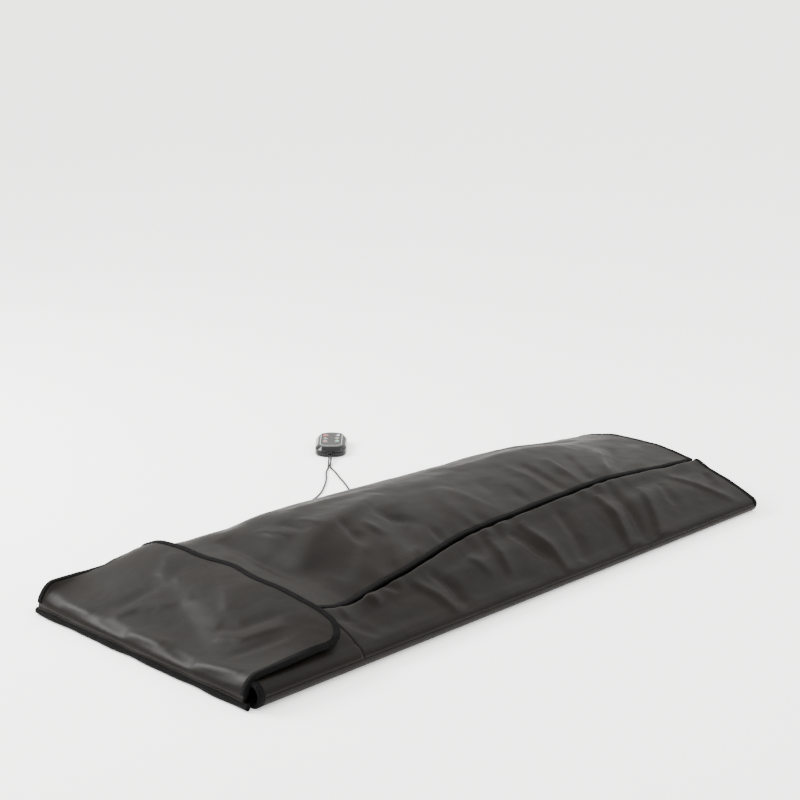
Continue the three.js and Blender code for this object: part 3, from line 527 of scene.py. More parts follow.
bodyFolds = [
    # soft rises and hollows of the body and the feet below the cloth: (line of x and y, height, width)
    ([(-0.48, 0.22), (-0.49, 0.11), (-0.50, 0.00), (-0.50, -0.10)], -0.011, 0.034),
    ([(-0.46, -0.07), (-0.39, -0.01), (-0.29, 0.02), (-0.18, 0.05), (-0.07, 0.10)], 0.009, 0.040),
    ([(-0.43, -0.16), (-0.34, -0.10), (-0.27, -0.05)], -0.008, 0.036),
    ([(-0.14, 0.02), (-0.15, -0.06), (-0.21, -0.17)], -0.010, 0.032),
    ([(0.06, 0.04), (0.02, -0.05), (-0.02, -0.15)], 0.006, 0.045),
    ([(0.20, 0.02), (0.18, -0.06), (0.13, -0.16)], -0.006, 0.036),
    ([(0.62, 0.10), (0.40, 0.12), (0.22, 0.12)], 0.007, 0.050),
    ([(0.10, -0.26), (-0.08, -0.28), (-0.26, -0.29)], 0.005, 0.050),
    ([(0.76, -0.22), (0.55, -0.24), (0.36, -0.26)], 0.006, 0.050),
    ([(-0.88, -0.20), (-0.78, -0.05), (-0.72, 0.12)], -0.006, 0.060),
]


def topHeight(x, y):
    roll = rollAt(x)
    inside = ease(halfWidth(x) - np.abs(y), roll, roll + 0.09)
    return smoothTop(x, y) + foldHeight(x, y, bodyFolds) * inside * ease(x, footX, footX + 0.07)


def foldHeight(x, y, folds):
    # soft ridges and valleys along given lines; each is steeper on its first side
    x, y = np.broadcast_arrays(x, y)
    total = np.zeros(x.shape)
    for line, height, width in folds:
        best = np.full(x.shape, 9.0)
        side = np.zeros(x.shape)
        share = np.zeros(x.shape)
        count = len(line) - 1
        for k in range(count):
            (ax, ay), (bx, by) = line[k], line[k + 1]
            dx, dy = bx - ax, by - ay
            t = np.clip(((x - ax) * dx + (y - ay) * dy) / (dx * dx + dy * dy), 0, 1)
            offX, offY = x - ax - t * dx, y - ay - t * dy
            distance = np.hypot(offX, offY)
            closer = distance < best
            best = np.where(closer, distance, best)
            side = np.where(closer, np.sign(offX * dy - offY * dx), side)
            share = np.where(closer, (k + t) / count, share)
        reach = width * np.where(side > 0, 0.62, 1.25)
        fade = np.sqrt(np.clip(4 * share * (1 - share), 0, 1)) * 0.85 + 0.15
        total += height * fade * np.exp(-(best / reach) ** 2)
    return total


def ripple(x, y, scale, height, seed, stretch=(1, 1)):
    # gentle unevenness of stuffed cloth
    out = np.zeros_like(x)
    flatX, flatY, flat = x.ravel(), y.ravel(), out.ravel()
    for i in range(flat.size):
        spot = Vector((flatX[i] * scale * stretch[0], flatY[i] * scale * stretch[1], seed))
        flat[i] = noise.fractal(spot, 0.9, 2.0, 3)
    return out * height


# free leads

lead = {"diameter": 0.005, "side": 0.003, "rest": 0.0025, "bootEnd": -0.1018, "level": 0.014}
controller = {"place": (0.455, 0.850), "turn": math.radians(-44)}
coil = {"centre": (0.010, 0.490), "rings": (0.033, 0.028, 0.023), "levels": (0.0025, 0.0075),
        "perTurn": 16, "overLevel": 0.0125}


def onController(x, y, z):
    # a place given from the middle of the controller, in the blanket's frame
    c, s = math.cos(controller["turn"]), math.sin(controller["turn"])
    return (controller["place"][0] + c * x - s * y, controller["place"][1] + s * x + c * y, z)


def aheadOfBoot(side, out, z):
    return onController(side * lead["side"], lead["bootEnd"] - out, z)


def leadStart(side):
    rest = lead["rest"]
    start = [(0.0003, lead["level"]), (0.014, 0.0134), (0.040, 0.0065), (0.068, rest)]
    return [aheadOfBoot(side, out, z) for out, z in start]


def onFloor(places):
    return [(x, y, lead["rest"]) for x, y in places]


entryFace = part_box("cable_entry")[1].y
entryMiddle = (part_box("cable_entry")[0].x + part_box("cable_entry")[1].x) / 2
blanketRoute = leadStart(1) + onFloor([
    (0.318, 0.684), (0.292, 0.636), (0.266, 0.586), (0.232, 0.532), (0.176, 0.480), (0.096, 0.451),
    (0.000, 0.444), (-0.096, 0.450), (-0.190, 0.458), (-0.284, 0.458), (-0.378, 0.462),
    (-0.466, 0.470), (-0.548, 0.472), (-0.622, 0.458),
]) + [
    (entryMiddle + 0.016, entryFace + 0.034, 0.008),
    (entryMiddle + 0.002, entryFace + 0.012, 0.0195),
    (entryMiddle, entryFace + 0.0003, 0.021),
]


def coilTurns():
    # three rings out to in on the floor, then three back out on top of them
    x0, y0 = coil["centre"]
    radii = list(coil["rings"]) + list(reversed(coil["rings"]))
    levels = [coil["levels"][0]] * 3 + [coil["levels"][1]] * 3
    points = []
    for turn, (radius, level) in enumerate(zip(radii, levels)):
        nextRadius = radii[min(turn + 1, 5)]
        nextLevel = levels[min(turn + 1, 5)]
        for k in range(coil["perTurn"]):
            share = k / coil["perTurn"]
            change = float(ease(share, 0.75, 1.0))
            r = radius + (nextRadius - radius) * change
            z = level + (nextLevel - level) * change
            angle = math.pi / 2 + 2 * math.pi * (share + (0.06 if turn == 0 and k == 0 else 0))
            points.append((x0 + r * math.cos(angle), y0 + r * math.sin(angle), z))
    return points


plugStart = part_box("mains_plug")[0].x
plugLevel = (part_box("mains_plug")[0].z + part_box("mains_plug")[1].z) / 2


def coilTail():
    # the last stretch crosses over the coil and comes down to the plug
    x0, y0 = coil["centre"]
    over = coil["overLevel"]
    crossing = [(0.003, 0.0325, over), (-0.0085, 0.029, over), (-0.0165, 0.0195, over),
                (-0.0175, 0.008, over), (-0.0095, -0.0005, over), (0.004, -0.0015, over),
                (0.018, -0.001, over), (0.031, -0.0005, over)]
    points = [(x0 + x, y0 + y, z) for x, y, z in crossing]
    gap = plugStart - (x0 + 0.031)
    points.append((x0 + 0.031 + gap * 0.4, y0, over - (over - plugLevel) * 0.3))
    points.append((plugStart - 0.0003, y0, plugLevel))
    return points


mainsRoute = leadStart(-1) + onFloor([
    (0.298, 0.698), (0.256, 0.652), (0.208, 0.608), (0.152, 0.566), (0.088, 0.538), (0.036, 0.5291),
]) + coilTurns() + coilTail()


def makeLead(name, route):
    data = bpy.data.curves.new(name, "CURVE")
    data.dimensions = "3D"
    data.bevel_depth = lead["diameter"] / 2
    data.bevel_resolution = 4
    data.resolution_u = 6
    data.use_fill_caps = True
    spline = data.splines.new("BEZIER")
    spline.bezier_points.add(len(route) - 1)
    for point, place in zip(spline.bezier_points, route):
        point.co = place
        point.handle_left_type = "AUTO"
        point.handle_right_type = "AUTO"
    thing = bpy.data.objects.new(name, data)
    bpy.context.scene.collection.objects.link(thing)
    dress(thing, leadRubber)
    return thing


def routeLength(route):
    points = np.array(route)
    return float(np.linalg.norm(np.diff(points, axis=0), axis=1).sum())


blanketLead = makeLead("lead_to_blanket", blanketRoute)
finishOf(blanketLead, "base", "cable", "blanket_lead")

mainsLead = makeLead("lead_to_mains", mainsRoute)
finishOf(mainsLead, "base", "cable", "mains_lead", "mains_coil")
print("leads laid:", round(routeLength(blanketRoute), 3), round(routeLength(mainsRoute), 3), "m")


# long top panels

longFold = {
    "rows": 12,                                       # round each long fold
    "firstEvened": 3, "evenedPast": 14, "passes": 10,     # how it runs smoothly into the top
}
panelShape = {
    "columns": 190, "topRows": 62, "deepest": -0.0068, "highest": 0.014,
    "dipRun": 0.013, "dipReach": 0.0048,
    "puff": 0.0070, "puffRun": 0.045, "pucker": 0.0022,      # the near panel swells beside the band
    "ripple": 0.0022,
}
farFolds = [
    # (line of x and y, height, width)
    ([(-0.42, 0.16), (-0.40, 0.05)], 0.005, 0.014),
    ([(-0.37, 0.13), (-0.365, 0.03)], -0.005, 0.012),
    ([(-0.34, 0.10), (-0.33, 0.02)], 0.004, 0.012),
    ([(-0.28, 0.01), (-0.30, -0.10)], -0.005, 0.016),
    ([(-0.23, -0.02), (-0.235, -0.08)], 0.006, 0.012),
    ([(-0.17, 0.00), (-0.13, -0.06)], -0.006, 0.014),
    ([(-0.21, -0.08), (-0.30, -0.20)], 0.005, 0.016),
    ([(-0.13, -0.09), (-0.22, -0.20)], 0.006, 0.016),
    ([(-0.10, -0.12), (-0.12, -0.19)], -0.005, 0.012),
    ([(0.43, -0.15), (0.44, -0.06), (0.46, 0.02)], 0.007, 0.016),
    ([(0.46, -0.15), (0.50, -0.06), (0.54, 0.01)], -0.007, 0.015),
    ([(0.36, -0.13), (0.37, -0.04), (0.38, 0.03)], -0.006, 0.016),
    ([(0.32, -0.12), (0.33, -0.05), (0.33, 0.04)], 0.005, 0.017),
    ([(0.53, -0.14), (0.60, -0.05), (0.66, 0.01)], 0.007, 0.018),
    ([(0.60, -0.12), (0.68, -0.04), (0.75, 0.04)], -0.006, 0.017),
    ([(0.67, -0.12), (0.76, -0.05), (0.84, 0.03)], 0.005, 0.018),
    ([(0.12, -0.15), (0.09, -0.04), (0.08, 0.03)], 0.004, 0.022),
    ([(0.22, -0.14), (0.24, -0.05)], -0.004, 0.018),
    ([(0.74, 0.16), (0.60, 0.19), (0.42, 0.19)], -0.004, 0.022),
    ([(-0.04, 0.15), (-0.16, 0.16), (-0.30, 0.18)], 0.004, 0.024),
]
nearFolds = [
    ([(-0.52, -0.24), (-0.53, -0.30)], 0.006, 0.016),
    ([(-0.54, -0.31), (-0.50, -0.36)], -0.005, 0.016),
    ([(-0.44, -0.24), (-0.42, -0.28)], 0.006, 0.016),
    ([(-0.38, -0.24), (-0.35, -0.27)], -0.006, 0.013),
    ([(-0.30, -0.26), (-0.27, -0.32), (-0.26, -0.37)], 0.007, 0.017),
    ([(-0.24, -0.25), (-0.22, -0.31), (-0.23, -0.37)], -0.006, 0.016),
    ([(-0.10, -0.24), (-0.08, -0.31)], 0.004, 0.018),
    ([(0.00, -0.21), (-0.01, -0.26), (-0.03, -0.32)], 0.006, 0.016),
    ([(0.07, -0.21), (0.11, -0.32)], -0.007, 0.015),
    ([(0.12, -0.20), (0.14, -0.29), (0.13, -0.36)], 0.007, 0.017),
    ([(0.26, -0.20), (0.24, -0.28), (0.20, -0.35)], -0.005, 0.018),
    ([(0.42, -0.19), (0.41, -0.27), (0.37, -0.36)], 0.009, 0.020),
    ([(0.48, -0.19), (0.46, -0.28), (0.43, -0.35)], -0.007, 0.017),
    ([(0.58, -0.20), (0.53, -0.30), (0.49, -0.35)], 0.007, 0.020),
    ([(0.66, -0.20), (0.63, -0.28)], -0.005, 0.016),
    ([(0.72, -0.18), (0.78, -0.24), (0.83, -0.32)], 0.006, 0.016),
    ([(0.86, -0.19), (0.82, -0.27)], -0.005, 0.014),
]


def foldPlaces(x, side):
    # y and z round the upper half of a long fold, from the side up to the top
    roll, half = rollAt(x), halfWidth(x)
    places = []
    for k in range(longFold["rows"]):
        angle = math.radians(1 + 89 * k / (longFold["rows"] - 1))
        places.append((side * (half - roll + roll * np.cos(angle)), roll + roll * np.sin(angle)))
    return places


def panelRows(x, side):
    # places across one panel, as y and z: its long fold, then over the top to the closure
    closure = closureAt(x)
    places = foldPlaces(x, side)
    start = side * (halfWidth(x) - rollAt(x))
    end = closure + blanket["lap"] if side < 0 else closure
    for k in range(1, panelShape["topRows"] + 1):
        share = k / panelShape["topRows"]
        if side > 0:
            share = 1 - np.cos(share * math.pi / 2)
        y = start + (end - start) * share
        places.append((y, topHeight(x, y)))
    ys = np.array([p[0] for p in places])
    zs = np.array([p[1] for p in places])
    return ys, zs


def panelGrid(x, side):
    # rows of points across the panel, columns along it
    xs = np.linspace(*x, panelShape["columns"])
    ys, zs = panelRows(xs, side)
    grid = np.stack([np.broadcast_to(xs, ys.shape), ys, zs], axis=2).copy()
    blurRows(grid, longFold["passes"], longFold["firstEvened"], longFold["rows"] + longFold["evenedPast"])
    if side < 0:
        edge = closureAt(xs) - panelShape["dipReach"]
        run = panelShape["dipRun"]
        swell = ease(ys, edge - run - panelShape["puffRun"], edge - run)
        grid[:, :, 2] += panelShape["puff"] * swell * (1 - ease(ys, edge - run, edge))
        grid[:, :, 2] -= blanket["lapDip"] * ease(ys, edge - run, edge)
    return grid


def clearOfSeams(grid, side):
    # folds fade out at the long fold's seam, at the foot seam and below the lap
    x, y = grid[:, :, 0], grid[:, :, 1]
    rows = np.arange(grid.shape[0])[:, None]
    fade = ease(rows, 0, 0.7 * longFold["rows"]) * ease(x, pocketEndX, pocketEndX + 0.05)
    if side < 0:
        fade = fade * (1 - ease(y, closureAt(x) - 0.022, closureAt(x) - 0.008))
    else:
        fade = fade * (0.35 + 0.65 * ease(y, closureAt(x), closureAt(x) + 0.03))
    return fade


def makePanel(word, side, folds):
    span = (pocketEndX + 0.0002, headX)
    flat = panelGrid(span, side)
    normals = facing(gridNormals(flat), (0, 0, 1))
    x, y = flat[:, :, 0], flat[:, :, 1]
    lift = foldHeight(x, y, folds) + ripple(x, y, 9, panelShape["ripple"], side * 3.7, (0.8, 1.3))
    beside = np.exp(-((y - closureAt(x)) / 0.05) ** 2)
    gathers = np.sin(x * 74 + 3 * np.sin(x * 13)) * np.abs(np.sin(x * 9 + 1))     # uneven, in groups
    lift = lift + panelShape["pucker"] * beside * gathers
    lift = np.clip(lift, panelShape["deepest"], panelShape["highest"]) * clearOfSeams(flat, side)
    cover = makeSlab(word + "_panel_cover", flat + normals * lift[:, :, None],
                     flat - normals * blanket["padding"])
    dress(cover, coverLeather)
    lining = makeSlab(word + "_panel_lining", flat - normals * (blanket["padding"] + blanket["gap"]),
                      flat - normals * blanket["stack"])
    dress(lining, liningCloth)
    finishOf(cover, None, "cover", word + "_panel_outer_cover", word + "_panel_insulation",
             word + "_panel_heating_mat")
    finishOf(lining, None, "lining", word + "_panel_inner_lining")
    return flat, normals, lift, cover, lining


def turnWith(thing):
    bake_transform(thing)


farFlat, farNormals, farLift, farCover, farLining = makePanel("far", 1, farFolds)
nearFlat, nearNormals, nearLift, nearCover, nearLining = makePanel("near", -1, nearFolds)
for thing in (farCover, farLining):
    turnWith(thing)
for thing in (nearCover, nearLining):
    turnWith(thing)
print("top panels made")


# edge bindings

binding = {"over": 0.014, "under": 0.009, "edge": 0.0045, "proud": 0.0012}


def bindingSection(over, under, edge, proud, thick):
    # a tape folded round a cloth edge: (out, up) pairs from its inner top edge round to its under edge
    section = [(-over, proud * 0.4), (-over + 0.0012, proud), (-0.002, proud + 0.0004)]
    middle = -thick / 2
    half = thick / 2 + proud + 0.0004
    for k in range(7):
        angle = math.radians(90 - 30 * k)
        section.append((edge * math.cos(angle), middle + half * math.sin(angle)))
    section += [(-0.002, -thick - proud - 0.0004), (-under + 0.0012, -thick - proud)]
    section += [(-under, -thick - proud * 0.4)]
    section += [(-under, -thick + 0.0006), (-0.0006, -thick + 0.0006), (-0.0006, -0.0006), (-over, -0.0006)]
    return section


def headEdge(flat, normals, lift):
    places = flat[:, -1] + normals[:, -1] * lift[:, -1][:, None]
    outs = [np.array((1.0, 0, 0))] * len(places)
    return list(places), outs, list(normals[:, -1])


def makeBinding(name, path, thick=blanket["stack"], **changes):
    thing = makeSweep(name, *path, bindingSection(thick=thick, **{**binding, **changes}))
    dress(thing, bindingTape)
    return thing


def closureEdge():
    row = farFlat[-1] + farNormals[-1] * farLift[-1][:, None]
    along = np.gradient(row, axis=0)
    along /= np.linalg.norm(along, axis=1, keepdims=True)
    outs = np.cross(farNormals[-1], along)
    outs *= -np.sign(outs[:, 1:2])
    return list(row), list(outs), list(farNormals[-1])


closureBand = makeBinding("closure_band", closureEdge(), over=0.0095, under=0.010, edge=0.004, proud=0.0012)
finishOf(closureBand, None, "binding", "far_panel_edge_binding")
turnWith(closureBand)

farHead = makeBinding("far_head_binding", headEdge(farFlat, farNormals, farLift), over=0.010, edge=0.0055)
finishOf(farHead, None, "binding", "far_panel_head_binding")
turnWith(farHead)
nearHead = makeBinding("near_head_binding", headEdge(nearFlat, nearNormals, nearLift),
                       over=0.010, edge=0.0055)
finishOf(nearHead, None, "binding", "near_panel_head_binding")
turnWith(nearHead)


# hook and loop tapes in the lap

lapTape = {"inset": 0.012, "width": 0.038, "thickness": 0.0012, "endInset": 0.012, "columns": 150, "rows": 7,
           "hookDepth": 0.0003, "loopDepth": 0.0018}


def lapStrip(name, depth, material, slotName, node):
    xs = np.linspace(pocketEndX + lapTape["endInset"], headX - lapTape["endInset"], lapTape["columns"])
    share = np.linspace(0, 1, lapTape["rows"])[:, None]
    ys = closureAt(xs)[None, :] + lapTape["inset"] + lapTape["width"] * share
    grid = np.stack([np.broadcast_to(xs, ys.shape), ys, topHeight(np.broadcast_to(xs, ys.shape), ys)], axis=2)
    normals = gridNormals(grid)
    normals *= np.sign(normals[:, :, 2:3])
    strip = makeSlab(name, grid - normals * depth, grid - normals * (depth + lapTape["thickness"]))
    dress(strip, material)
    finishOf(strip, None, slotName, node)
    turnWith(strip)


lapStrip("closure_hooks", blanket["stack"] + lapTape["hookDepth"], hookPile, "tape",
         "closure_hook_tape")
lapStrip("closure_loops", blanket["stack"] + lapTape["loopDepth"], loopPile, "tape",
         "closure_loop_tape")


# base and foot pocket

baseShape = {"columns": 150, "across": 60}
pocketShape = {"columns": 46, "across": 70}


def baseGrid():
    # down round the far long fold, across the floor and up round the near one
    xs = np.linspace(baseFootX, headX, baseShape["columns"])
    roll, half = rollAt(xs), halfWidth(xs)
    steps, across = longFold["rows"], baseShape["across"]
    rows = []
    for k in range(steps):
        angle = math.radians(-1 - 89 * k / (steps - 1))
        rows.append((half - roll + roll * np.cos(angle), roll + roll * np.sin(angle)))
    for k in range(1, across):
        rows.append(((half - roll) * (1 - 2 * k / across), 0 * roll))
    for k in range(steps):
        angle = math.radians(-90 + 89 * k / (steps - 1))
        rows.append((-(half - roll + roll * np.cos(angle)), roll + roll * np.sin(angle)))
    ys = np.array([r[0] for r in rows])
    zs = np.array([r[1] for r in rows])
    return np.stack([np.broadcast_to(xs, ys.shape), ys, zs], axis=2)


baseFlat = baseGrid()
baseNormals = facing(gridNormals(baseFlat), (0, 0, -1))
baseCover = makeSlab("base_cover", baseFlat, baseFlat - baseNormals * blanket["padding"])
dress(baseCover, coverLeather)
finishOf(baseCover, "base", "cover", "base_outer_cover", "base_insulation", "base_heating_mat",
         "temperature_sensor", "thermal_cutout")
baseSwell = ripple(baseFlat[:, :, 0], baseFlat[:, :, 1], 11, 0.0014, 8.1)
baseTop = baseFlat - baseNormals * (blanket["stack"] + baseSwell)[:, :, None]
baseLining = makeSlab("base_lining", baseFlat - baseNormals * (blanket["padding"] + blanket["gap"]), baseTop)
dress(baseLining, liningCloth)
finishOf(baseLining, "base", "lining", "base_inner_lining")
baseEdge = (list(baseFlat[:, -1]), [np.array((1.0, 0, 0))] * len(baseFlat), list(baseNormals[:, -1]))
baseHead = makeBinding("base_head_binding_tape", baseEdge, over=0.010, edge=0.0055, proud=0.0)
finishOf(baseHead, "base", "binding", "base_head_binding")


def pocketGrid():
    # up round the near long fold, over the feet and down round the far one
    xs = np.linspace(baseFootX, pocketEndX, pocketShape["columns"])
    reach, count = halfWidth(xs) - rollAt(xs), pocketShape["across"]
    across = [-reach * math.cos(math.pi * k / count) for k in range(1, count)]
    top = [(y, topHeight(xs, y)) for y in across]
    places = foldPlaces(xs, -1) + top + foldPlaces(xs, 1)[::-1]
    ys = np.array([p[0] for p in places])
    zs = np.array([p[1] for p in places])
    grid = np.stack([np.broadcast_to(xs, ys.shape), ys, zs], axis=2).copy()
    first, last = longFold["firstEvened"], longFold["rows"] + longFold["evenedPast"]
    blurRows(grid, longFold["passes"], first, last)
    blurRows(grid, longFold["passes"], len(places) - last, len(places) - first)
    return grid


pocketFlat = pocketGrid()
pocketNormals = facing(gridNormals(pocketFlat), (0, 0, 1))
pocketCover = makeSlab("foot_pocket_cover", pocketFlat, pocketFlat - pocketNormals * blanket["padding"])
dress(pocketCover, coverLeather)
finishOf(pocketCover, "base", "cover", "foot_pocket_outer_cover", "foot_pocket_insulation")
pocketLining = makeSlab("foot_pocket_lining",
                        pocketFlat - pocketNormals * (blanket["padding"] + blanket["gap"]),
                        pocketFlat - pocketNormals * blanket["stack"])
dress(pocketLining, liningCloth)
finishOf(pocketLining, "base", "lining", "foot_pocket_inner_lining")


def foldRim(side):
    # the rim of the open fold at a foot corner, from the floor round to the top
    points, normals = [], []
    half, roll = halfWidth(baseFootX), rollAt(baseFootX)
    for k in range(25):
        angle = math.radians(-96 + 190 * k / 24)
        out = np.array((0, side * math.cos(angle), math.sin(angle)))
        centre = np.array((baseFootX, side * (half - roll), roll))
        points.append(centre + out * roll)
        normals.append(out)
    return points, [np.array((-1.0, 0, 0))] * len(points), normals


for word, side in (("near", -1), ("far", 1)):
    rim = makeBinding("fold_rim_" + word, foldRim(side), over=0.012, under=0.012, edge=0.004, proud=0.0)
    finishOf(rim, "base", "binding")
print("base and pocket made")


# foot flap

flapShape = {"rows": 74, "columns": 132, "foldRows": 9, "edgeWave": 0.004, "deepest": -0.0068,
             "highest": 0.012}
flapFolds = [
    ([(-0.86, 0.14), (-0.81, 0.12), (-0.76, 0.06), (-0.72, 0.02)], 0.0042, 0.020),
    ([(-0.83, 0.16), (-0.76, 0.15), (-0.70, 0.11)], -0.0036, 0.018),
    ([(-0.77, -0.12), (-0.75, -0.17), (-0.67, -0.22)], -0.0048, 0.018),
    ([(-0.80, -0.15), (-0.77, -0.21), (-0.68, -0.26)], 0.0036, 0.018),
    ([(-0.84, -0.24), (-0.76, -0.27), (-0.71, -0.29)], -0.0036, 0.018),
    ([(-0.66, -0.02), (-0.72, -0.10)], 0.0024, 0.022),
    ([(-0.63, 0.22), (-0.70, 0.16)], 0.0024, 0.022),
    ([(-0.885, 0.30), (-0.88, 0.20)], 0.0036, 0.014),
    ([(-0.880, 0.16), (-0.885, 0.05)], -0.0036, 0.013),
    ([(-0.885, 0.06), (-0.875, -0.06)], 0.0042, 0.014),
    ([(-0.875, -0.08), (-0.885, -0.18)], -0.0036, 0.013),
    ([(-0.885, -0.18), (-0.870, -0.32)], 0.0042, 0.015),
]


def flapSpan(y):
    # how far short of the free edge a place across the flap ends: the corners are round
    corner = blanket["flapCorner"]
    width = np.where(y < 0, blanket["flapNear"], blanket["flapFar"])
    into = np.clip(np.abs(y) - (width - corner), 0, corner)
    return corner - np.sqrt(np.maximum(corner * corner - into * into, 0))


def flapTop(x, y):
    d = 0.008
    across = (topHeight(x, y + d) - topHeight(x, y - d)) / (2 * d)
    along = (topHeight(x + d, y) - topHeight(x - d, y)) / (2 * d)
    steep = np.minimum(1, across ** 2 + along ** 2)
    return topHeight(x, y) + (blanket["stack"] + blanket["flapLift"]) * np.sqrt(1 + steep)


def flapGrid():
    share = np.linspace(0, 1, flapShape["columns"])
    share = 0.35 * share + 0.65 * (1 - np.cos(math.pi * share)) / 2
    y = -blanket["flapNear"] + share * (blanket["flapNear"] + blanket["flapFar"])
    foldEnd = footX + blanket["flapFold"]
    rise = flapTop(foldEnd + 0 * y, y) - blanket["seamHeight"]
    rows = []
    for k in range(flapShape["foldRows"]):
        angle = math.radians(1 + 89 * k / (flapShape["foldRows"] - 1))
        x = footX + blanket["flapFold"] * (1 - math.cos(angle)) + 0 * y
        rows.append((x, y, blanket["seamHeight"] + rise * math.sin(angle)))
    end = flapFreeX - flapSpan(y) + flapShape["edgeWave"] * (
        np.sin(y * 21 + 0.6) + 0.6 * np.sin(y * 37)) * (1 - np.abs(y / 0.38) ** 4)
    for k in range(1, flapShape["rows"]):
        x = foldEnd + (end - foldEnd) * k / (flapShape["rows"] - 1)
        rows.append((x, y, flapTop(x, y)))
    return np.stack([np.stack(row, axis=1) for row in rows])


flapFlat = flapGrid()
blurRows(flapFlat, 6, 3, flapShape["foldRows"] + 8)
flapNormals = facing(gridNormals(flapFlat), (0, 0, 1))
flapX, flapY = flapFlat[:, :, 0], flapFlat[:, :, 1]
flapLift = foldHeight(flapX, flapY, flapFolds) + ripple(flapX, flapY, 10, 0.0012, 5.3, (1.2, 1))
flapLift = np.clip(flapLift, flapShape["deepest"], flapShape["highest"])
flapCover = makeSlab("foot_flap_cover", flapFlat + flapNormals * flapLift[:, :, None],
                     flapFlat - flapNormals * blanket["padding"])
dress(flapCover, coverLeather)
finishOf(flapCover, None, "cover", "foot_flap_outer_cover", "foot_flap_insulation")
flapLining = makeSlab("foot_flap_lining", flapFlat - flapNormals * (blanket["padding"] + blanket["gap"]),
                      flapFlat - flapNormals * blanket["stack"])
dress(flapLining, liningCloth)
finishOf(flapLining, None, "lining", "foot_flap_inner_lining")


def flapEdge():
    # up the near side, round the free edge and down the far side
    skin = flapFlat + flapNormals * flapLift[:, :, None]
    loop = [(i, 0) for i in range(1, len(skin))]
    loop += [(len(skin) - 1, j) for j in range(1, skin.shape[1])]
    loop += [(i, skin.shape[1] - 1) for i in range(len(skin) - 2, 0, -1)]
    points = np.array([skin[i, j] for i, j in loop])
    normals = np.array([flapNormals[i, j] for i, j in loop])
    keep = [0]
    for k in range(1, len(points)):
        if np.linalg.norm(points[k] - points[keep[-1]]) > 0.004:
            keep.append(k)
    points, normals = points[keep], normals[keep]
    along = np.gradient(points, axis=0)
    along /= np.linalg.norm(along, axis=1, keepdims=True)
    outs = np.cross(along, normals)
    middle = np.array((footX + 0.15, 0, 0.1))
    if np.sum((points[len(points) // 2] - middle) * outs[len(points) // 2]) < 0:
        outs = -outs
    outs /= np.linalg.norm(outs, axis=1, keepdims=True)
    ups = np.cross(outs, along)
    ups = ups * np.sign(np.sum(ups * normals, axis=1))[:, None]
    return list(points), list(outs), list(ups)


flapBinding = makeBinding("foot_flap_edge", flapEdge(), over=0.0115, edge=0.0055, proud=0.0018)
finishOf(flapBinding, None, "binding", "foot_flap_binding")
for thing in (flapCover, flapLining, flapBinding):
    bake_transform(thing)


# foot end

footEnd = {"bandRadius": (0.0072, 0.0084), "bandOut": 0.004, "wobble": 0.0018, "gusset": 0.0074}


def gussetGrid():
    y = np.linspace(-blanket["flapNear"], blanket["flapFar"], 120)
    rows = []
    for k in range(12):
        angle = math.radians(0.5 + 89.5 * k / 11)
        x = footX + blanket["footFold"] * (1 - math.cos(angle)) + 0 * y
        rows.append(np.stack([x, y, blanket["seamHeight"] * (1 - math.sin(angle)) + 0 * y], axis=1))
    return np.stack(rows)


gussetFlat = gussetGrid()
gussetNormals = facing(gridNormals(gussetFlat), (-1, 0, 0))
gusset = makeSlab("foot_end_gusset", gussetFlat, gussetFlat - gussetNormals * footEnd["gusset"])
dress(gusset, coverLeather)
finishOf(gusset, "base", "cover", "foot_gusset")


def footBandEdge():
    y = np.linspace(-blanket["flapNear"] - 0.012, blanket["flapFar"] + 0.010, 150)
    wave = footEnd["wobble"] * (np.sin(y * 31 + 1) + 0.7 * np.sin(y * 53))
    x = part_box("base_foot_binding")[0].x + footEnd["bandOut"] - 0.001 + wave * 0.6
    z = footEnd["bandRadius"][1] + 0.0004 + np.maximum(wave, 0) * 0.3
    points = np.stack([x, y, z], axis=1)
    return list(points), [np.array((-1.0, 0, 0))] * len(y), [np.array((0, 0, 1.0))] * len(y)


bandSection = [(footEnd["bandRadius"][0] * math.cos(a), footEnd["bandRadius"][1] * math.sin(a))
               for a in np.linspace(0, 2 * math.pi, 16, endpoint=False)]
footBand = makeSweep("foot_end_binding", *footBandEdge(), bandSection)
dress(footBand, bindingTape)
finishOf(footBand, "base", "binding", "base_foot_binding")
print("flap and foot end made")


# controller: printed lines and labels, lit digits, key symbols

face = {"level": 0.0290, "print": 0.00012, "window": 0.0288, "lit": 0.00015, "borderWidth": 0.0013,
        "borderInset": 0.0006, "halfWidth": 0.032, "shoulder": 0.063, "top": 0.0705, "bottom": -0.055,
        "corner": 0.020}
column = 0.017
keyRow = {"temp": 0.0164, "time": 0.0164, "power": -0.0108, "start": -0.0108}
keyColumn = {"temp": -column, "time": column, "power": -column, "start": column}
displayRow = 0.0435


def circle(x, y, radius, start=0, end=360, steps=32):
    turns = np.radians(np.linspace(start, end, steps, endpoint=end - start < 360))
    return [(x + radius * math.cos(a), y + radius * math.sin(a)) for a in turns]


def band(line, width, closed=False):
    # the outline of a line of even width: one side there, the other side back
    line = [np.array(p) for p in line]
    count = len(line)
    left, right = [], []
    for k, place in enumerate(line):
        ahead = line[(k + 1) % count] if closed or k + 1 < count else place
        behind = line[k - 1] if closed or k else place
        along = ahead - behind
        along = along / max(np.linalg.norm(along), 1e-9)
        out = np.array((-along[1], along[0])) * width / 2
        left.append(place + out)
        right.append(place - out)
    return left, right


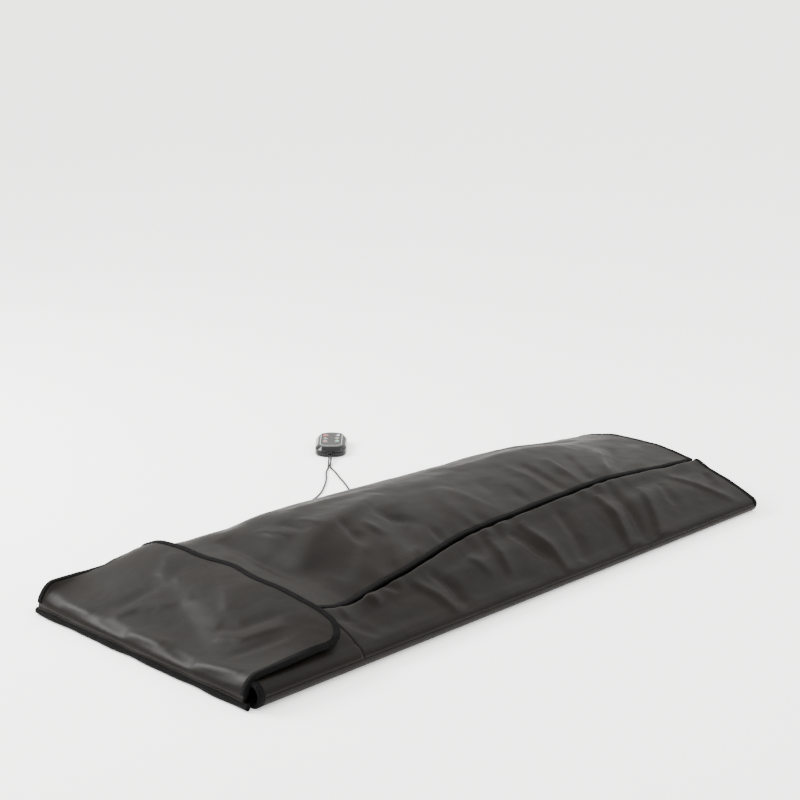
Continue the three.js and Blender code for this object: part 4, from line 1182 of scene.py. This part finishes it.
class Print:
    # flat raised marks on the controller, gathered in one mesh
    def __init__(self):
        self.points, self.faces = [], []

    def strip(self, line, width, level, thick, closed=False):
        left, right = band(line, width, closed)
        first = len(self.points)
        for a, b in zip(left, right):
            for (x, y), z in ((a, level), (b, level), (b, level + thick), (a, level + thick)):
                self.points.append(onController(x, y, z))
        count = len(left)
        for k in range(count if closed else count - 1):
            a, b = first + 4 * k, first + 4 * ((k + 1) % count)
            for j in range(4):
                m = (j + 1) % 4
                self.faces.append((a + j, b + j, b + m, a + m))
        if not closed:
            last = first + 4 * (count - 1)
            self.faces.append((first, first + 1, first + 2, first + 3))
            self.faces.append((last + 3, last + 2, last + 1, last))

    def plate(self, outline, level, thick):
        first, count = len(self.points), len(outline)
        for z in (level, level + thick):
            self.points += [onController(x, y, z) for x, y in outline]
        self.faces.append(tuple(first + k for k in reversed(range(count))))
        self.faces.append(tuple(first + count + k for k in range(count)))
        for k in range(count):
            m = (k + 1) % count
            self.faces.append((first + k, first + m, first + count + m, first + count + k))

    def made(self, name, material, body="base"):
        marks = makeMesh(name, self.points, self.faces, smooth=False)
        turned = bmesh.new()
        turned.from_mesh(marks.data)
        bmesh.ops.recalc_face_normals(turned, faces=turned.faces)
        turned.to_mesh(marks.data)
        turned.free()
        dress(marks, material)
        printed = material is silverPrint or material is whitePrint
        finishOf(marks, body, "overlay" if printed else "display")


def borderLine():
    inset = face["borderInset"] + face["borderWidth"] / 2
    half, bottom = face["halfWidth"] - inset, face["bottom"] + inset
    shoulder, top, corner = face["shoulder"] - inset, face["top"] - inset, face["corner"] - inset
    line = [(-half, shoulder), (-half, bottom + corner)]
    line += circle(-half + corner, bottom + corner, corner, 180, 270, 12)[1:]
    line += circle(half - corner, bottom + corner, corner, 270, 360, 12)
    line += [(half, shoulder)]
    for k in range(1, 14):
        t = k / 14
        arch = (1 - t) ** 2 * shoulder + 2 * t * (1 - t) * (2 * top - shoulder) + t * t * shoulder
        line.append((half * (1 - 2 * t), arch))
    return line


border = Print()
border.strip(borderLine(), face["borderWidth"], face["level"], face["print"], closed=True)
border.made("overlay_border", silverPrint)

digitShapes = {"1": "bc", "8": "abcdefg"}
digit = {"width": 0.0046, "height": 0.0086, "slant": 0.12, "stroke": 0.0011, "gap": 0.0003,
         "pitch": 0.0072, "dotOut": 0.0031, "dotDown": 0.0045, "dotRadius": 0.0005}


def segmentLines(x, y):
    # the seven bars of a digit, by letter
    w, h, gap = digit["width"] / 2, digit["height"] / 2, digit["gap"]
    corners = {"a": ((-w, h), (w, h)), "b": ((w, h), (w, 0)), "c": ((w, 0), (w, -h)),
               "d": ((-w, -h), (w, -h)),
               "e": ((-w, 0), (-w, -h)), "f": ((-w, h), (-w, 0)), "g": ((-w, 0), (w, 0))}
    lines = {}
    for letter, ((ax, ay), (bx, by)) in corners.items():
        length = math.hypot(bx - ax, by - ay)
        ux, uy = (bx - ax) / length * gap * 2, (by - ay) / length * gap * 2
        ends = [(ax + ux, ay + uy), (bx - ux, by - uy)]
        lines[letter] = [(x + px + py * digit["slant"], y + py) for px, py in ends]
    return lines


def showDigits(word, x, text, litMaterial):
    lit, dim = Print(), Print()
    for k, sign in enumerate(text):
        across = x + (k - 0.5) * digit["pitch"]
        for letter, line in segmentLines(across, displayRow).items():
            target = lit if letter in digitShapes[sign] else dim
            target.strip(line, digit["stroke"], face["window"], face["lit"])
        dot = lit if k == 0 and word == "time" else dim
        spot = circle(across + digit["dotOut"], displayRow - digit["dotDown"], digit["dotRadius"], steps=10)
        dot.plate(spot, face["window"], face["lit"])
    lit.made("digits_lit_" + word, litMaterial)
    dim.made("digits_dim_" + word, dimLit)


showDigits("temp", -column, "81", redLit)
showDigits("time", column, "18", whiteLit)


def keyMarks(word):
    return keyColumn[word], keyRow[word], face["level"], face["print"]


for word in keyRow:
    x, y, level, thick = keyMarks(word)
    ring = Print()
    ring.strip(circle(x, y, 0.00545), 0.0007, level, thick, closed=True)
    ring.made("key_ring_" + word, whitePrint, "key_" + word)

x, y, level, thick = keyMarks("temp")
symbol = Print()
symbol.plate(circle(x, y - 0.0019, 0.0011, steps=16), level, thick)
symbol.strip([(x, y - 0.0010), (x, y + 0.0030)], 0.0010, level, thick)
for k in range(3):
    mark = y + 0.0006 + 0.0009 * k
    symbol.strip([(x + 0.0009, mark), (x + 0.0018, mark)], 0.0003, level, thick)
symbol.made("symbol_temp", whitePrint, "key_temp")

x, y, level, thick = keyMarks("time")
symbol = Print()
symbol.strip(circle(x, y, 0.0031), 0.0006, level, thick, closed=True)
symbol.strip([(x, y + 0.0021), (x, y + 0.0001)], 0.0005, level, thick)
symbol.strip([(x + 0.0003, y - 0.0002), (x + 0.0017, y - 0.0010)], 0.0005, level, thick)
symbol.made("symbol_time", whitePrint, "key_time")

x, y, level, thick = keyMarks("power")
symbol = Print()
symbol.strip(circle(x, y, 0.0026, 130, 410, 28), 0.0007, level, thick)
symbol.strip([(x, y + 0.0033), (x, y + 0.0006)], 0.0007, level, thick)
symbol.made("symbol_power", redLit, "key_power")

x, y, level, thick = keyMarks("start")
symbol = Print()
symbol.strip(circle(x, y, 0.0031), 0.0006, level, thick, closed=True)
symbol.plate([(x - 0.0010, y - 0.0017), (x + 0.0020, y), (x - 0.0010, y + 0.0017)], level, thick)
symbol.made("symbol_start", greenLit, "key_start")


def makeLabel(name, text, x, y, size=0.0036):
    # a printed word, centred
    curve = bpy.data.curves.new(name, "FONT")
    curve.body, curve.size, curve.align_x, curve.extrude = text, size, "CENTER", face["print"] / 2
    curve.resolution_u = 3
    holder = bpy.data.objects.new(name, curve)
    data = bpy.data.meshes.new_from_object(holder)
    bpy.data.objects.remove(holder)
    joined = bmesh.new()
    joined.from_mesh(data)
    bmesh.ops.remove_doubles(joined, verts=joined.verts, dist=0.000001)
    joined.to_mesh(data)
    joined.free()
    for vertex in data.vertices:
        place = (x + vertex.co.x, y + vertex.co.y, face["level"] + face["print"] / 2 + vertex.co.z)
        vertex.co = onController(*place)
    thing = bpy.data.objects.new(name, data)
    bpy.context.scene.collection.objects.link(thing)
    dress(thing, whitePrint)
    finishOf(thing, "base", "overlay")


for name, text, x, y in (
    ("label_display_temp", "TEMP", -column, 0.0525), ("label_display_time", "TIME", column, 0.0525),
    ("label_key_temp", "TEMP", -column, 0.0062), ("label_key_time", "TIME", column, 0.0062),
    ("label_key_power", "ON/OFF", -column, -0.0212), ("label_key_start", "START", column, -0.0212),
):
    makeLabel(name, text, x, y)


# boot: raised rings round its tapered sleeve

boot = {"from": -0.0845, "to": -0.1012, "rings": 6, "root": (0.019, 0.0105), "tip": (0.0146, 0.0084),
        "radius": 0.0007, "level": 0.014}


def bootRing(k):
    share = k / (boot["rings"] - 1) * 0.9 + 0.05
    v = boot["from"] + (boot["to"] - boot["from"]) * share
    width = boot["root"][0] + (boot["tip"][0] - boot["root"][0]) * share
    height = boot["root"][1] + (boot["tip"][1] - boot["root"][1]) * share
    a, b, corner = width / 2, height / 2, height * 0.3
    line = []
    for cx, cz, start in ((a - corner, b - corner, 0), (corner - a, b - corner, 90),
                          (corner - a, corner - b, 180), (a - corner, corner - b, 270)):
        line += circle(cx, cz, corner, start, start + 90, 6)
    places = [np.array(onController(u, v, boot["level"] + w)) for u, w in line]
    middle = np.array(onController(0, v, boot["level"]))
    outs = [(p - middle) / np.linalg.norm(p - middle) for p in places]
    along = np.array(onController(0, v + 1, 0)) - np.array(onController(0, v, 0))
    section = [(boot["radius"] * math.cos(t), boot["radius"] * math.sin(t))
               for t in np.linspace(0, 2 * math.pi, 8, endpoint=False)]
    ring = makeSweep("boot_ring_%d" % (k + 1), places, outs, [along] * len(places), section, closed=True)
    dress(ring, bootRubber)
    finishOf(ring, "base", "cable")


for k in range(boot["rings"]):
    bootRing(k)
print("controller details made")


# carried-over solids

carried = {
    "controller_front_case": caseGloss, "controller_rear_case": caseGloss,
    "control_overlay": overlayGloss, "display_temp": displayWindow, "display_time": displayWindow,
    "key_temp": overlayGloss, "key_time": overlayGloss, "key_power": overlayGloss, "key_start": overlayGloss,
    "key_switch_temp": devicePlastic, "key_switch_time": devicePlastic, "key_switch_power": devicePlastic,
    "key_switch_start": devicePlastic, "start_lamp": lampLit, "circuit_board": boardLacquer,
    "relay": devicePlastic, "transformer": devicePlastic, "strain_relief": bootRubber,
    "cable_entry": bootRubber, "mains_plug": bootRubber,
    "case_screw_1": platedSteel, "case_screw_2": platedSteel, "case_screw_3": platedSteel,
    "case_screw_4": platedSteel,
    "flap_hook_patch_near": hookPile, "flap_hook_patch_far": hookPile,
    "flap_loop_patch_near": loopPile, "flap_loop_patch_far": loopPile,
}
for nodeName, material in carried.items():
    solid = nodes[nodeName]
    dress(solid, material)
    solid.data.polygons.foreach_set("use_smooth", [True] * len(solid.data.polygons))
    solid.data.set_sharp_from_angle(angle=math.radians(32))
for nodeName in ("controller_front_case", "controller_rear_case"):
    # the facets of the case's round corners and bevels run into one another
    case = nodes[nodeName]
    if "custom_normal" in case.data.attributes:
        case.data.attributes.remove(case.data.attributes["custom_normal"])
    if "sharp_edge" in case.data.attributes:
        case.data.attributes.remove(case.data.attributes["sharp_edge"])
    weld = case.modifiers.new("joined facets", "WELD")
    weld.merge_threshold = 0.00001
    rounding = case.modifiers.new("rounded edges", "BEVEL")
    rounding.width, rounding.segments = 0.0010, 2
    rounding.limit_method, rounding.angle_limit = "ANGLE", math.radians(36)
print("carried-over solids dressed")


# floor

def makeFloor():
    material, shader = newMaterial("floor paper", **{
        "Specular IOR Level": 0.05, "Emission Color": studio["floor"],
        "Emission Strength": studio["floorGlow"]})
    place = placeOf(material, False)
    cloud = noiseOf(material, place, 3, 4)
    low = tuple(channel * 0.985 for channel in studio["floor"])
    link(material, rampOf(material, cloud, [(0.3, low), (0.7, studio["floor"])]), shader.inputs["Base Color"])
    link(material, spanOf(material, cloud, 0.8, 0.95), shader.inputs["Roughness"])
    reach = studio["floorReach"]
    corners = [(-reach, -reach, 0), (reach, -reach, 0), (reach, reach, 0), (-reach, reach, 0)]
    floor = makeMesh("floor", corners, [(0, 1, 2, 3)], smooth=False)
    floor.location.z = studio["floorLevel"]
    dress(floor, material)


makeFloor()

bpy.context.view_layer.update()
print("done")
